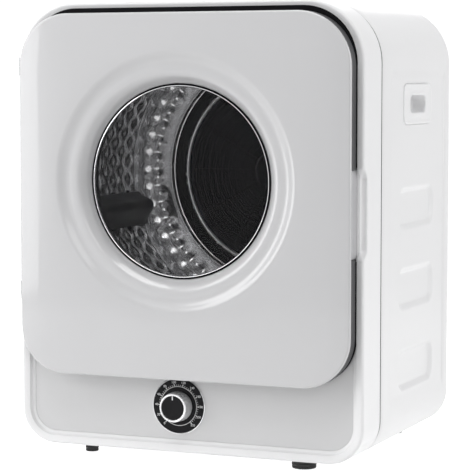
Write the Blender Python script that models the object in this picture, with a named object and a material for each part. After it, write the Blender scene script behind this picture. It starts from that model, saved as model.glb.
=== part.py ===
"""Compact front-loading tumble dryer, built from its separate pieces.

Frame: +X to the right of someone facing the door, -Y out of the door, +Z up.
The origin is on the floor, under the centre of the machine. Lengths are in metres.
"""
import math

import bmesh
import bpy
from mathutils import Matrix, Vector

# Cabinet
BODY_W = 0.490            # width over the side walls
BODY_H = 0.592            # height without the feet
BODY_D = 0.366            # from the rim of the front frame to the back
FOOT_H = 0.012            # height of the feet
TOP_RADIUS = 0.080        # upper corners of the body
BOTTOM_RADIUS = 0.048     # lower corners of the body
WALL = 0.0015             # sheet steel of the wrap
GAP = 0.0003              # between pieces that touch
CORNER_STEPS = 5          # segments in each rounded corner
ROUND_STEPS = 32          # segments in a large circle
SIDE_STEPS = 5            # segments in each straight side of the door

# Front frame
FRAME_D = 0.067           # depth of the frame along the side
FRAME_WALL = 0.003
RIM_W = 0.0145            # width of the sloping rim
RIM_DEPTH = 0.008         # how far the panel lies behind the rim
RIM_FILLET = 0.003
SEAM = 0.0016             # open line between the frame and the wrap
TONGUE = 0.012            # part of the frame that slides into the wrap
PANEL_T = 0.003
LEDGE_W = 0.008           # ledge of the frame that carries the panel
CONTROL_H = 0.100         # body bottom to the lower edge of the door

# Door
DOOR_PROUD = 0.025        # how far the door stands in front of the rim
DOOR_SIDE = 0.011         # body side to door side
DOOR_TOP = 0.0144         # body top to door top
DOOR_TOP_RADIUS = 0.071
DOOR_BOTTOM_RADIUS = 0.064
DOOR_EDGE_D = 0.015       # side wall of the white door shell
DOOR_SKIN = 0.0025
LINER_INSET = 0.0015      # door shell side to liner side
LINER_WALL = 0.0025
SEAL_SPACE = 0.003        # liner to panel
WINDOW_R = 0.1275         # visible radius of the window
WINDOW_X = -0.009         # the window and the drum sit slightly left of centre
WINDOW_T = 0.003
DISH_W = 0.0385           # width of the dished ring round the window

# Hinge, latch and finger pull
HINGE_X_OUT = 0.004       # hinge axis outside the door's side
HINGE_BACK = 0.0025       # hinge axis behind the edge of the door shell
HINGE_SPREAD = 0.300      # distance between the two hinges
KNUCKLE_R = 0.0034
KNUCKLE_H = 0.012
PIN_R = 0.0017
ARM_T = 0.0036
PULL_Z = 0.3325           # middle of the finger pull
PULL_H = 0.113
PULL_DEPTH = 0.012        # how far its recess runs back along the side
LATCH_Z_DROP = 0.075      # latch below the middle of the finger pull
LATCH_IN = 0.024          # latch from the door's side

# Drum
DRUM_CLEAR_SIDE = 0.0235  # drum to wrap at the nearer side
DRUM_CLEAR_TOP = 0.0215   # drum to wrap at the top
DRUM_SHEET = 0.0012
DRUM_REAR_SPACE = 0.0275  # drum back to the back of the cabinet
DRUM_CORNER = 0.035       # rounded corner between drum wall and back
MOUTH_R = 0.150
COLLAR_IN = 0.0065        # mouth of the drum to the inside of the front collar
COLLAR_T = 0.0025
DRUM_FRONT_GAP = 0.027    # panel to drum front
LIFTER_COUNT = 3
LIFTER_ANGLE = 196.0      # first lifter, degrees from +X towards +Z
LIFTER_H = 0.034
LIFTER_W = 0.052
FILTER_R = 0.136
SHAFT_R = 0.008
SHAFT_CLEAR = 0.0004

# Drive
MOTOR_X = 0.118
MOTOR_R = 0.042
MOTOR_L = 0.092
MOTOR_Y = 0.006
ROTOR_R = 0.0045
PULLEY_R = 0.009
PULLEY_W = 0.014
BELT_W = 0.009
BELT_T = 0.002
BELT_Y = -0.076
BLOWER_R = 0.050
BLOWER_W = 0.034
BLOWER_WALL = 0.002
BLOWER_ROOM = 0.0035      # wheel to housing
DUCT_R = 0.046
DUCT_WALL = 0.0025
BASE_T = 0.0015
HEATER_X = -0.120
HEATER_W = 0.095

# Controls
DIAL_X = -0.0145
DIAL_UP = 0.0614          # dial above the body's bottom
DIAL_R = 0.036
DIAL_T = 0.002
DIAL_RING = 0.0012
KNOB_R = 0.020
KNOB_H = 0.0205
TIMER_SHAFT_R = 0.003
TIMER_SIZE = (0.052, 0.026, 0.046)

# Side grips and pressed panels in the wrap
GRIP_BEHIND = 0.221       # centre of the grip behind the rim
GRIP_DROP = 0.134         # centre of the grip below the body's top
GRIP_L = 0.122
GRIP_H = 0.055
SLOT_L = 0.069
SLOT_H = 0.023
SLOT_DEPTH = 0.020
PRESS_BEHIND = 0.2205
PRESS_DROPS = (0.273, 0.381, 0.490)
PRESS_L = 0.151
PRESS_H = 0.054
PRESS_DEPTH = 0.005
PRESS_SLOPE = 0.006

# Feet
FOOT_X = 0.154
FOOT_FRONT = 0.029        # front feet behind the rim
FOOT_REAR_X = 0.176
FOOT_REAR = 0.046         # rear feet before the back
FOOT_R = 0.0165
FOOT_SMALL_R = 0.009

# Places worked out from the sizes above
TOTAL_D = BODY_D + DOOR_PROUD
DOOR_Y = -TOTAL_D / 2
RIM_Y = DOOR_Y + DOOR_PROUD
BACK_Y = TOTAL_D / 2
PANEL_Y = RIM_Y + RIM_DEPTH
SEAM_Y = RIM_Y + FRAME_D
TOP_Z = FOOT_H + BODY_H
HALF_W = BODY_W / 2
DRUM_R = HALF_W - WALL - abs(WINDOW_X) - DRUM_CLEAR_SIDE
WINDOW_Z = TOP_Z - WALL - DRUM_CLEAR_TOP - DRUM_R
DRUM_Y0 = PANEL_Y + PANEL_T + DRUM_FRONT_GAP
DRUM_Y1 = BACK_Y - DRUM_REAR_SPACE
DOOR_HALF = HALF_W - DOOR_SIDE
EDGE_Y = DOOR_Y + DOOR_EDGE_D
DISH_R = WINDOW_R + DISH_W
COLLAR_R = MOUTH_R - COLLAR_IN
LINER_Y = EDGE_Y + GAP
LINER_BACK_Y = PANEL_Y - SEAL_SPACE
FLOOR_Z = FOOT_H + WALL + GAP
HOUSING_R = BLOWER_R + BLOWER_ROOM + BLOWER_WALL
MOTOR_Z = FLOOR_Z + BASE_T + GAP + HOUSING_R
DIAL_Z = FOOT_H + DIAL_UP
FLANGE_Y = BACK_Y - 0.003
COVER_Y = FLANGE_Y - WALL - GAP
COVER_T = 0.0012
PAN_REAR_Y = COVER_Y - COVER_T - 0.002
HINGE_X = -(DOOR_HALF + HINGE_X_OUT)
HINGE_Y = EDGE_Y + HINGE_BACK
LATCH_X = DOOR_HALF - LATCH_IN
LATCH_Z = PULL_Z - LATCH_Z_DROP

BODY_BOX = (HALF_W, FOOT_H, TOP_Z, TOP_RADIUS, BOTTOM_RADIUS)
DOOR_BOX = (DOOR_HALF, FOOT_H + CONTROL_H, TOP_Z - DOOR_TOP, DOOR_TOP_RADIUS, DOOR_BOTTOM_RADIUS)

# name: colour, metallic, roughness
MATERIALS = {
    "white_enamel": ((0.86, 0.86, 0.86), 0.0, 0.25),
    "white_plastic": ((0.84, 0.84, 0.84), 0.0, 0.3),
    "door_white": ((0.82, 0.82, 0.82), 0.0, 0.18),
    "black_plastic": ((0.015, 0.015, 0.016), 0.0, 0.35),
    "smoked_glass": ((0.05, 0.05, 0.055), 0.0, 0.04),
    "chrome_trim": ((0.85, 0.85, 0.86), 1.0, 0.12),
    "silver_knob": ((0.72, 0.72, 0.73), 0.6, 0.25),
    "stainless_drum": ((0.62, 0.62, 0.63), 1.0, 0.25),
    "grey_plastic": ((0.2, 0.2, 0.21), 0.0, 0.45),
    "zinc_steel": ((0.55, 0.56, 0.57), 1.0, 0.4),
    "cast_metal": ((0.5, 0.5, 0.5), 1.0, 0.5),
    "rubber_black": ((0.02, 0.02, 0.02), 0.0, 0.8),
    "seal_rubber": ((0.03, 0.03, 0.032), 0.0, 0.6),
    "felt_grey": ((0.28, 0.27, 0.26), 0.0, 0.95),
    "ceramic_heater": ((0.45, 0.4, 0.34), 0.0, 0.7),
}


def material(name):
    """The named material, made on first use."""
    found = bpy.data.materials.get(name)
    if found:
        return found
    colour, metallic, roughness = MATERIALS[name]
    made = bpy.data.materials.new(name)
    made.use_nodes = True
    shader = made.node_tree.nodes["Principled BSDF"]
    shader.inputs["Base Color"].default_value = (*colour, 1.0)
    shader.inputs["Metallic"].default_value = metallic
    shader.inputs["Roughness"].default_value = roughness
    made.diffuse_color = (*colour, 1.0)
    return made


def make_object(name, mesh_builder, look):
    """A linked object from a bmesh, with outward faces and smooth round sides."""
    bmesh.ops.recalc_face_normals(mesh_builder, faces=mesh_builder.faces)
    mesh = bpy.data.meshes.new(name)
    mesh_builder.to_mesh(mesh)
    mesh_builder.free()
    mesh.shade_smooth()
    mesh.set_sharp_from_angle(angle=math.radians(35))
    made = bpy.data.objects.new(name, mesh)
    bpy.context.collection.objects.link(made)
    if look:
        mesh.materials.append(material(look))
    return made


def loft(name, rings, look, closed=False):
    """A solid through equal-length rings; closed joins the last ring to the first."""
    builder = bmesh.new()
    loops = [[builder.verts.new(point) for point in ring] for ring in rings]
    count = len(rings[0])
    pairs = list(zip(loops, loops[1:]))
    if closed:
        pairs.append((loops[-1], loops[0]))
    for near, far in pairs:
        for i in range(count):
            j = (i + 1) % count
            builder.faces.new((near[i], near[j], far[j], far[i]))
    if not closed:
        builder.faces.new(loops[0])
        builder.faces.new(loops[-1])
    return make_object(name, builder, look)


def outline(inset, y, box=BODY_BOX, side_steps=1):
    """Rounded rectangle in a plane of constant y, drawn inside a body or door box."""
    half, low, high, top_radius, bottom_radius = box
    half, low, high = half - inset, low + inset, high - inset
    upper = max(top_radius - inset, 0.002)
    lower = max(bottom_radius - inset, 0.002)
    corners = (
        (half - lower, low + lower, lower, -90),
        (half - upper, high - upper, upper, 0),
        (upper - half, high - upper, upper, 90),
        (lower - half, low + lower, lower, 180),
    )
    points = []
    for x, z, radius, start in corners:
        for step in range(CORNER_STEPS + 1):
            angle = math.radians(start + 90 * step / CORNER_STEPS)
            points.append(Vector((x + radius * math.cos(angle), y, z + radius * math.sin(angle))))
    if side_steps == 1:
        return points
    divided = []
    for i, point in enumerate(points):
        divided.append(point)
        if i % (CORNER_STEPS + 1) == CORNER_STEPS:
            following = points[(i + 1) % len(points)]
            divided += [point.lerp(following, k / side_steps) for k in range(1, side_steps)]
    return divided


def door_outline(inset, y):
    """The door's outline, with its straight sides divided to meet the round window."""
    return outline(inset, y, DOOR_BOX, SIDE_STEPS)


def circle(radius, y, x=WINDOW_X, z=WINDOW_Z, steps=ROUND_STEPS):
    """Circle round an axis parallel to Y."""
    points = []
    for step in range(steps):
        angle = math.tau * step / steps
        points.append(Vector((x + radius * math.cos(angle), y, z + radius * math.sin(angle))))
    return points


def circle_facing(outer, radius, y):
    """Circle round the window whose points lie on the rays to an outline's points."""
    centre = Vector((WINDOW_X, 0, WINDOW_Z))
    points = []
    for point in outer:
        ray = Vector((point.x - centre.x, 0, point.z - centre.z)).normalized()
        points.append(Vector((centre.x + radius * ray.x, y, centre.z + radius * ray.z)))
    return points


def turned(name, profile, look, x=WINDOW_X, z=WINDOW_Z, steps=ROUND_STEPS, closed=True):
    """A body of revolution round an axis parallel to Y, from (radius, y) points."""
    return loft(name, [circle(r, y, x, z, steps) for r, y in profile], look, closed)


def sheet(points, thickness):
    """Closed (radius, y) profile of a sheet that lies to the left of a line of points."""
    offset = []
    for i, (r, y) in enumerate(points):
        before = points[max(i - 1, 0)]
        after = points[min(i + 1, len(points) - 1)]
        along = Vector((after[0] - before[0], after[1] - before[1])).normalized()
        offset.append((r - along.y * thickness, y + along.x * thickness))
    return points + offset[::-1]


def block(name, low, high, look, bevel=0.0):
    """A box between two corners, with its edges bevelled."""
    builder = bmesh.new()
    bmesh.ops.create_cube(builder, size=1.0)
    size = [b - a for a, b in zip(low, high)]
    centre = Vector([(a + b) / 2 for a, b in zip(low, high)])
    bmesh.ops.scale(builder, vec=size, verts=builder.verts)
    bmesh.ops.translate(builder, vec=centre, verts=builder.verts)
    made = make_object(name, builder, look)
    if bevel:
        edge = made.modifiers.new("edges", "BEVEL")
        edge.width = bevel
        edge.segments = 2
        edge.limit_method = "ANGLE"
    return made


def rod(name, start, end, radius, look, steps=16, end_radius=None):
    """A round bar between two points, tapered when it has an end radius."""
    start, end = Vector(start), Vector(end)
    turn = (end - start).to_track_quat("Z", "Y").to_matrix()
    rings = []
    for centre, size in ((start, radius), (end, end_radius or radius)):
        ring = []
        for step in range(steps):
            angle = math.tau * step / steps
            ring.append(centre + turn @ Vector((size * math.cos(angle), size * math.sin(angle), 0)))
        rings.append(ring)
    return loft(name, rings, look)


def plate(name, centre, length, height, x_near, x_far, radius, look, shrink=0.0):
    """A rounded plate parallel to a side wall, from x_near to x_far, narrower at x_far."""
    rings = []
    for x, less in ((x_near, 0.0), (x_far, shrink)):
        ring = []
        for sign_y, sign_z, start in ((1, -1, -90), (1, 1, 0), (-1, 1, 90), (-1, -1, 180)):
            for step in range(4):
                angle = math.radians(start + 90 * step / 3)
                size = max(radius - less, 0.001)
                y = centre[0] + sign_y * (length / 2 - less - size) + size * math.cos(angle)
                z = centre[1] + sign_z * (height / 2 - less - size) + size * math.sin(angle)
                ring.append(Vector((x, y, z)))
        rings.append(ring)
    return loft(name, rings, look)


def combine(target, tools, operation):
    """Boolean each tool into the target and keep the tools as hidden guides."""
    for tool in tools:
        step = target.modifiers.new(tool.name, "BOOLEAN")
        step.operation = operation
        step.object = tool
        step.solver = "EXACT"
        tool.hide_render = True
        tool.display_type = "WIRE"
    return target


def cut(target, *tools):
    return combine(target, tools, "DIFFERENCE")


def join(target, *tools):
    return combine(target, tools, "UNION")


def put_origin(made, place):
    """Move an object's origin to a point on its joint's axis."""
    made.data.transform(Matrix.Translation(-Vector(place)))
    made.location = place


# Cabinet ---------------------------------------------------------------------------------

def build_wrap():
    """The painted steel wrap with its rolled rear edge, pressed panels and grip holes."""
    front = SEAM_Y + SEAM
    section = [
        (0, front), (0, BACK_Y - 0.004), (0.0012, BACK_Y - 0.0012), (0.0035, BACK_Y),
        (0.0055, BACK_Y), (0.0065, FLANGE_Y), (0.017, FLANGE_Y), (0.017, FLANGE_Y - WALL),
        (0.004, FLANGE_Y - WALL), (WALL, FLANGE_Y - WALL - 0.0025), (WALL, front),
    ]
    wrap = loft("cabinet_wrap", [outline(i, y) for i, y in section], "white_enamel", closed=True)
    for side, sign in (("right", 1), ("left", -1)):
        grip = (RIM_Y + GRIP_BEHIND, TOP_Z - GRIP_DROP)
        hole = plate(f"grip_hole_{side}", grip, GRIP_L, GRIP_H, sign * (HALF_W - 0.02),
                     sign * (HALF_W + 0.01), 0.014, None)
        cut(wrap, hole)
        for number, drop in enumerate(PRESS_DROPS, 1):
            centre = (RIM_Y + PRESS_BEHIND, TOP_Z - drop)
            tray = plate(f"tray_{side}_{number}", centre, PRESS_L, PRESS_H,
                         sign * (HALF_W - WALL / 2), sign * (HALF_W - PRESS_DEPTH - WALL),
                         0.02, None, PRESS_SLOPE)
            inner_l, inner_h = PRESS_L - 2 * WALL, PRESS_H - 2 * WALL
            pocket = plate(f"pocket_{side}_{number}", centre, inner_l, inner_h,
                           sign * HALF_W, sign * (HALF_W - PRESS_DEPTH), 0.018, None, PRESS_SLOPE)
            clear = plate(f"clear_{side}_{number}", centre, inner_l, inner_h,
                          sign * (HALF_W + 0.002), sign * HALF_W, 0.018, None)
            join(wrap, tray)
            cut(wrap, join(pocket, clear))
    for hole in screw_rods("wrap_screw_hole", 0.0021, FLANGE_Y + 0.005, FLANGE_Y - 0.01, None):
        cut(wrap, hole)
    return cut(wrap, duct_hole("wrap_duct_hole"))


def duct_hole(name):
    """Room for the exhaust collar through the back."""
    return rod(name, (MOTOR_X, COVER_Y - 0.01, MOTOR_Z), (MOTOR_X, BACK_Y + 0.01, MOTOR_Z),
               DUCT_R + DUCT_WALL + 2 * GAP, None, 24)


def screw_places():
    """The four screws that hold the rear cover to the flange of the wrap."""
    inset = 0.0115
    return [(sx * (HALF_W - inset), z) for sx in (-1, 1) for z in (FOOT_H + 0.12, TOP_Z - 0.12)]


def screw_rods(name, radius, front, back, look):
    places = enumerate(screw_places(), 1)
    return [rod(f"{name}_{n}", (x, front, z), (x, back, z), radius, look, 12) for n, (x, z) in places]


def build_front_frame():
    """The moulded front frame: sloping rim, side wall, panel ledge and tongue."""
    ledge_y = PANEL_Y + PANEL_T + GAP
    tongue = WALL + GAP
    section = [
        (0, SEAM_Y), (0, RIM_Y + RIM_FILLET), (0.0004, RIM_Y + 0.0013),
        (0.0012, RIM_Y + 0.0004), (0.0024, RIM_Y), (RIM_W, PANEL_Y), (RIM_W, ledge_y),
        (RIM_W + LEDGE_W, ledge_y), (RIM_W + LEDGE_W, ledge_y + FRAME_WALL),
        (RIM_W, ledge_y + FRAME_WALL), (tongue + FRAME_WALL, ledge_y + 0.009),
        (tongue + FRAME_WALL, SEAM_Y + TONGUE), (tongue, SEAM_Y + TONGUE), (tongue, SEAM_Y),
    ]
    frame = loft("front_frame", [outline(i, y) for i, y in section], "white_plastic", closed=True)
    notch = block("pull_notch", (DOOR_HALF - 0.012, RIM_Y - 0.01, PULL_Z - PULL_H / 2),
                  (HALF_W + 0.01, RIM_Y + PULL_DEPTH, PULL_Z + PULL_H / 2), None)
    cut(frame, notch)
    for name, z in hinge_heights():
        slot = block(f"hinge_slot_{name}", (HINGE_X - ARM_T / 2 - GAP, RIM_Y - 0.002, z - 0.0133),
                     (HINGE_X + ARM_T / 2 + GAP, ledge_y - 0.0004, z + 0.0133), None)
        cut(frame, slot)
    return frame


def hinge_heights():
    return (("upper", WINDOW_Z + HINGE_SPREAD / 2), ("lower", WINDOW_Z - HINGE_SPREAD / 2))


def build_front_panel():
    """The flat front panel behind the door, which is also the control panel below it."""
    rings = [outline(RIM_W + GAP, PANEL_Y), outline(RIM_W + GAP, PANEL_Y + PANEL_T)]
    panel = loft("front_panel", rings, "white_plastic")
    opening = turned("panel_opening", [(COLLAR_R + COLLAR_T + GAP, PANEL_Y + d) for d in (-0.01, 0.01)],
                     None, closed=False)
    shaft_hole = rod("timer_hole", (DIAL_X, PANEL_Y - 0.01, DIAL_Z),
                     (DIAL_X, PANEL_Y + 0.01, DIAL_Z), TIMER_SHAFT_R + 0.001, None)
    latch_hole = block("latch_hole", (LATCH_X - 0.006, PANEL_Y - 0.01, LATCH_Z - 0.013),
                       (LATCH_X + 0.006, PANEL_Y + 0.01, LATCH_Z + 0.013), None)
    notch = block("panel_notch", (DOOR_HALF - 0.014, PANEL_Y - 0.01, PULL_Z - PULL_H / 2 - 0.0003),
                  (HALF_W, PANEL_Y + 0.01, PULL_Z + PULL_H / 2 + 0.0003), None)
    cut(panel, opening, shaft_hole, latch_hole, notch)
    return panel


def build_pull_recess():
    """The cup that lines the finger recess in the rim and the panel."""
    low_z, high_z = PULL_Z - PULL_H / 2, PULL_Z + PULL_H / 2
    back = RIM_Y + PULL_DEPTH
    cup = block("pull_recess", (DOOR_HALF - 0.012 + GAP, PANEL_Y, low_z + GAP),
                (HALF_W - 0.0004, back - GAP, high_z - GAP), "white_plastic")
    hollow = block("pull_hollow", (DOOR_HALF - 0.0105, PANEL_Y - 0.02, low_z + 0.002),
                   (HALF_W + 0.01, back - 0.002, high_z - 0.002), None, 0.003)
    return cut(cup, hollow)


def build_front_collar():
    """The short duct from the front panel into the mouth of the drum."""
    start, end = PANEL_Y, DRUM_Y0 + 0.012
    outer = COLLAR_R + COLLAR_T
    flange_y = PANEL_Y + PANEL_T + GAP
    section = [
        (COLLAR_R, start), (outer, start), (outer, flange_y), (outer + 0.012, flange_y),
        (outer + 0.012, flange_y + 0.002), (outer, flange_y + 0.004), (outer, end), (COLLAR_R, end),
    ]
    return turned("front_collar", section, "grey_plastic")


def build_drum_seal():
    """The felt ring that the drum's mouth slides on."""
    inner = COLLAR_R + COLLAR_T + GAP
    outer = MOUTH_R * math.cos(math.pi / ROUND_STEPS) - GAP
    section = [(inner, DRUM_Y0 - 0.006), (outer, DRUM_Y0 - 0.006),
               (outer, DRUM_Y0 + 0.009), (inner, DRUM_Y0 + 0.009)]
    return turned("drum_seal", section, "felt_grey")


def build_base_pan():
    """The folded tray on the floor of the cabinet that carries the drive."""
    front, rear = SEAM_Y + TONGUE + 0.004, PAN_REAR_Y
    half = HALF_W - BOTTOM_RADIUS - 0.004
    pan = block("base_pan", (-half, front, FLOOR_Z), (half, rear, FLOOR_Z + BASE_T), "zinc_steel")
    for name, y0, y1 in (("front", front, front + BASE_T), ("rear", rear - BASE_T, rear)):
        join(pan, block(f"pan_lip_{name}", (-half, y0, FLOOR_Z + BASE_T / 2),
                        (half, y1, FLOOR_Z + 0.006), None))
    return pan


def build_rear_cover():
    """The steel rear cover with its air louvres and the duct and cable openings."""
    inset = 0.0045
    cover = loft("rear_cover", [outline(inset, COVER_Y - COVER_T), outline(inset, COVER_Y)],
                 "zinc_steel")
    x, z = inlet_place()
    inlet = rod("inlet_hole", (x, COVER_Y - 0.01, z), (x, COVER_Y + 0.01, z), 0.0092, None)
    cut(cover, duct_hole("cover_duct_hole"), inlet)
    for row in range(6):
        low = WINDOW_Z - 0.235 + 0.011 * row
        cut(cover, block(f"louvre_{row}", (HEATER_X - HEATER_W / 2, COVER_Y - 0.01, low),
                         (HEATER_X + HEATER_W / 2, COVER_Y + 0.01, low + 0.005), None))
    for hole in screw_rods("cover_screw_hole", 0.0021, COVER_Y + 0.005, COVER_Y - 0.01, None):
        cut(cover, hole)
    return cover


def build_screws():
    """Rear cover screws: a flat round head outside and a shank through the flange."""
    heads = screw_rods("rear_screw", 0.0038, FLANGE_Y + GAP, FLANGE_Y + 0.0026, "zinc_steel")
    shanks = screw_rods("screw_shank", 0.0017, FLANGE_Y - 0.008, FLANGE_Y + 0.001, None)
    for head, shank in zip(heads, shanks):
        join(head, shank)


def inlet_place():
    return -HALF_W + BOTTOM_RADIUS + 0.006, FOOT_H + 0.055


def build_power_inlet():
    """The cable gland in the rear cover."""
    x, z = inlet_place()
    section = [(0.0045, COVER_Y - 0.012), (0.009, COVER_Y - 0.012), (0.009, COVER_Y + GAP),
               (0.0125, COVER_Y + GAP), (0.0125, COVER_Y + 0.003), (0.0075, COVER_Y + 0.0045),
               (0.0045, COVER_Y + 0.0045)]
    return turned("power_inlet", section, "black_plastic", x, z, 16)


def build_side_grips():
    """Lifting grips: a plate in the wrap with a deep finger slot."""
    centre = (RIM_Y + GRIP_BEHIND, TOP_Z - GRIP_DROP)
    for side, sign in (("right", 1), ("left", -1)):
        face = sign * (HALF_W - 0.0005)
        seat = sign * (HALF_W - WALL - GAP)
        grip = plate(f"side_grip_{side}", centre, GRIP_L - 2 * GAP, GRIP_H - 2 * GAP,
                     face, seat - sign * 0.0007, 0.0137, "white_plastic")
        flange = plate(f"grip_flange_{side}", centre, GRIP_L + 0.008, GRIP_H + 0.008,
                       seat, seat - sign * 0.0015, 0.016, None)
        cup = plate(f"grip_cup_{side}", centre, SLOT_L + 0.006, SLOT_H + 0.006,
                    seat - sign * 0.0007, face - sign * (SLOT_DEPTH + 0.002), 0.011, None, 0.002)
        slot = plate(f"grip_slot_{side}", centre, SLOT_L, SLOT_H, face + sign * 0.01,
                     face - sign * SLOT_DEPTH, 0.009, None, 0.001)
        cut(join(grip, flange, cup), slot)


def build_feet():
    """Rubber feet under the body; the front left one is the slimmer of the four."""
    front, rear = RIM_Y + FOOT_FRONT, BACK_Y - FOOT_REAR
    places = {
        "foot_front_right": (FOOT_X, front, FOOT_R),
        "foot_front_left": (-FOOT_X, front, FOOT_SMALL_R),
        "foot_rear_right": (FOOT_REAR_X, rear, FOOT_R),
        "foot_rear_left": (-FOOT_REAR_X, rear, FOOT_R),
    }
    for name, (x, y, radius) in places.items():
        rod(name, (x, y, FOOT_H - GAP), (x, y, 0), radius, "rubber_black", 24, radius - 0.002)


# Controls --------------------------------------------------------------------------------

def build_dial():
    """The black dial plate with its bright ring, the timer behind it and the knob."""
    face = PANEL_Y - GAP
    bore = TIMER_SHAFT_R + SHAFT_CLEAR
    turned("dial_plate", [(bore, face), (DIAL_R, face), (DIAL_R, face - DIAL_T + 0.0005),
                          (DIAL_R - 0.0005, face - DIAL_T), (bore, face - DIAL_T)],
           "black_plastic", DIAL_X, DIAL_Z, 24)
    inner = DIAL_R + GAP
    turned("dial_ring", [(inner, face), (inner + DIAL_RING, face),
                         (inner + DIAL_RING, face - 0.0016), (inner, face - 0.0022)],
           "chrome_trim", DIAL_X, DIAL_Z, 24)
    width, depth, height = TIMER_SIZE
    back = PANEL_Y + PANEL_T + GAP
    timer = block("timer_body", (DIAL_X - width / 2, back, DIAL_Z - height / 2),
                  (DIAL_X + width / 2, back + depth, DIAL_Z + height / 2), "black_plastic", 0.002)
    cut(timer, rod("timer_bore", (DIAL_X, back - 0.01, DIAL_Z), (DIAL_X, back + 0.012, DIAL_Z), bore,
                   None))
    low = face - DIAL_T - GAP
    top = PANEL_Y - KNOB_H - DIAL_T
    profile = [
        (TIMER_SHAFT_R, back + 0.011), (TIMER_SHAFT_R, low), (KNOB_R, low),
        (KNOB_R - 0.0008, top + 0.0015), (KNOB_R - 0.0022, top), (KNOB_R - 0.0035, top),
        (KNOB_R - 0.0042, top + 0.0012), (0.004, top + 0.0012),
    ]
    knob = turned("timer_knob", profile, "silver_knob", DIAL_X, DIAL_Z, 24, closed=False)
    pointer = block("pointer_notch", (DIAL_X - 0.0008, top - 0.002, DIAL_Z + KNOB_R - 0.0065),
                    (DIAL_X + 0.0008, top + 0.002, DIAL_Z + KNOB_R - 0.0012), None)
    cut(knob, pointer)
    put_origin(knob, (DIAL_X, top, DIAL_Z))


# Door ------------------------------------------------------------------------------------

def build_door_shell():
    """The white outer door with its dished ring round the window."""
    base = door_outline(0.014, DOOR_Y)
    outside = [door_outline(0, EDGE_Y), door_outline(0, DOOR_Y + 0.002),
               door_outline(0.0006, DOOR_Y + 0.0007), door_outline(0.002, DOOR_Y), base]
    lip = WINDOW_R + 0.0003
    dish = [(DISH_R, 0.0), (DISH_R - 0.010, 0.0066), (DISH_R - 0.018, 0.0080),
            (DISH_R - 0.026, 0.0078), (DISH_R - 0.032, 0.0112), (lip, 0.0235)]
    front = [circle_facing(base, r, DOOR_Y + d) for r, d in dish]
    back_dish = [(lip + DOOR_SKIN, 0.0235), (DISH_R - 0.0295, 0.0133), (DISH_R - 0.010, 0.0100),
                 (DISH_R + 0.001, DOOR_SKIN)]
    back = [circle_facing(base, r, DOOR_Y + d) for r, d in back_dish]
    inside = [door_outline(0.014, DOOR_Y + DOOR_SKIN), door_outline(DOOR_SKIN, DOOR_Y + DOOR_SKIN),
              door_outline(DOOR_SKIN, EDGE_Y)]
    shell = loft("door_shell", outside + front + back + inside, "door_white", closed=True)
    notch = block("door_pull_notch", (DOOR_HALF - 0.0125, DOOR_Y + 0.0026, PULL_Z - PULL_H / 2),
                  (DOOR_HALF + 0.01, EDGE_Y + 0.01, PULL_Z + PULL_H / 2), None)
    return cut(shell, notch)


def build_door_liner():
    """The black inner door that closes the shell from behind and holds the window."""
    box = door_outline(LINER_INSET, LINER_Y)
    seat = window_back_y()
    round_part = [
        (WINDOW_R + 0.012, LINER_Y), (WINDOW_R + 0.012, LINER_Y + 0.0037),
        (WINDOW_R + 0.006, LINER_Y + 0.0052), (WINDOW_R + 0.006, seat), (WINDOW_R - 0.003, seat),
        (WINDOW_R - 0.003, seat + 0.0025), (WINDOW_R + 0.011, seat + 0.0025),
        (WINDOW_R + 0.011, LINER_BACK_Y),
    ]
    wall = LINER_INSET + LINER_WALL
    inside_y = LINER_BACK_Y - LINER_WALL
    ring_r = WINDOW_R + 0.012 + LINER_WALL
    rings = [box, door_outline(wall, LINER_Y), door_outline(wall, inside_y),
             circle_facing(box, ring_r, inside_y), circle_facing(box, ring_r, LINER_Y)]
    rings += [circle_facing(box, r, y) for r, y in round_part]
    rings.append(door_outline(LINER_INSET, LINER_BACK_Y))
    liner = loft("door_liner", rings, "black_plastic", closed=True)
    notch = block("liner_pull_notch", (DOOR_HALF - 0.0125, LINER_Y - 0.01, PULL_Z - PULL_H / 2),
                  (DOOR_HALF + 0.01, LINER_BACK_Y + 0.01, PULL_Z + PULL_H / 2), None)
    cut(liner, notch)
    for name, z in hinge_heights():
        pocket = block(f"leaf_pocket_{name}", (-DOOR_HALF - 0.01, LINER_Y - 0.01, z - 0.0133),
                       (-DOOR_HALF + 0.0203, EDGE_Y + 0.0043, z + 0.0133), None)
        arm_room = block(f"arm_room_{name}", (-DOOR_HALF - 0.01, LINER_Y - 0.01, z - 0.0140),
                         (-DOOR_HALF + 0.0022, LINER_BACK_Y + 0.01, z + 0.0140), None)
        cut(liner, pocket, arm_room)
    return liner


def window_back_y():
    return RIM_Y + 0.0018 + WINDOW_T + GAP


def build_window():
    """The smoked window, slightly domed, held between the trim ring and the liner."""
    front = RIM_Y + 0.0018
    edge_r = WINDOW_R + 0.0032
    rings = [(edge_r, front + WINDOW_T), (edge_r, front + 0.0006), (edge_r - 0.0006, front)]
    rings += [(WINDOW_R * k, front - 0.004 * (1 - k * k)) for k in (0.95, 0.8, 0.6, 0.35, 0.1)]
    turned("door_window", rings, "smoked_glass", closed=False)
    inner = WINDOW_R - 0.0016
    outer = WINDOW_R
    turned("window_trim", [(outer, front - GAP), (inner, front - GAP - 0.0006),
                           (inner, front - 0.0022), (outer, front - 0.0030)], "chrome_trim")


def build_door_gasket():
    """The soft ring on the back of the inner door that seals against the front panel."""
    inner = COLLAR_R + 0.010
    section = [(inner, LINER_BACK_Y + GAP), (inner + 0.008, LINER_BACK_Y + GAP),
               (inner + 0.007, PANEL_Y - GAP), (inner + 0.001, PANEL_Y - GAP)]
    turned("door_gasket", section, "seal_rubber")


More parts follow.
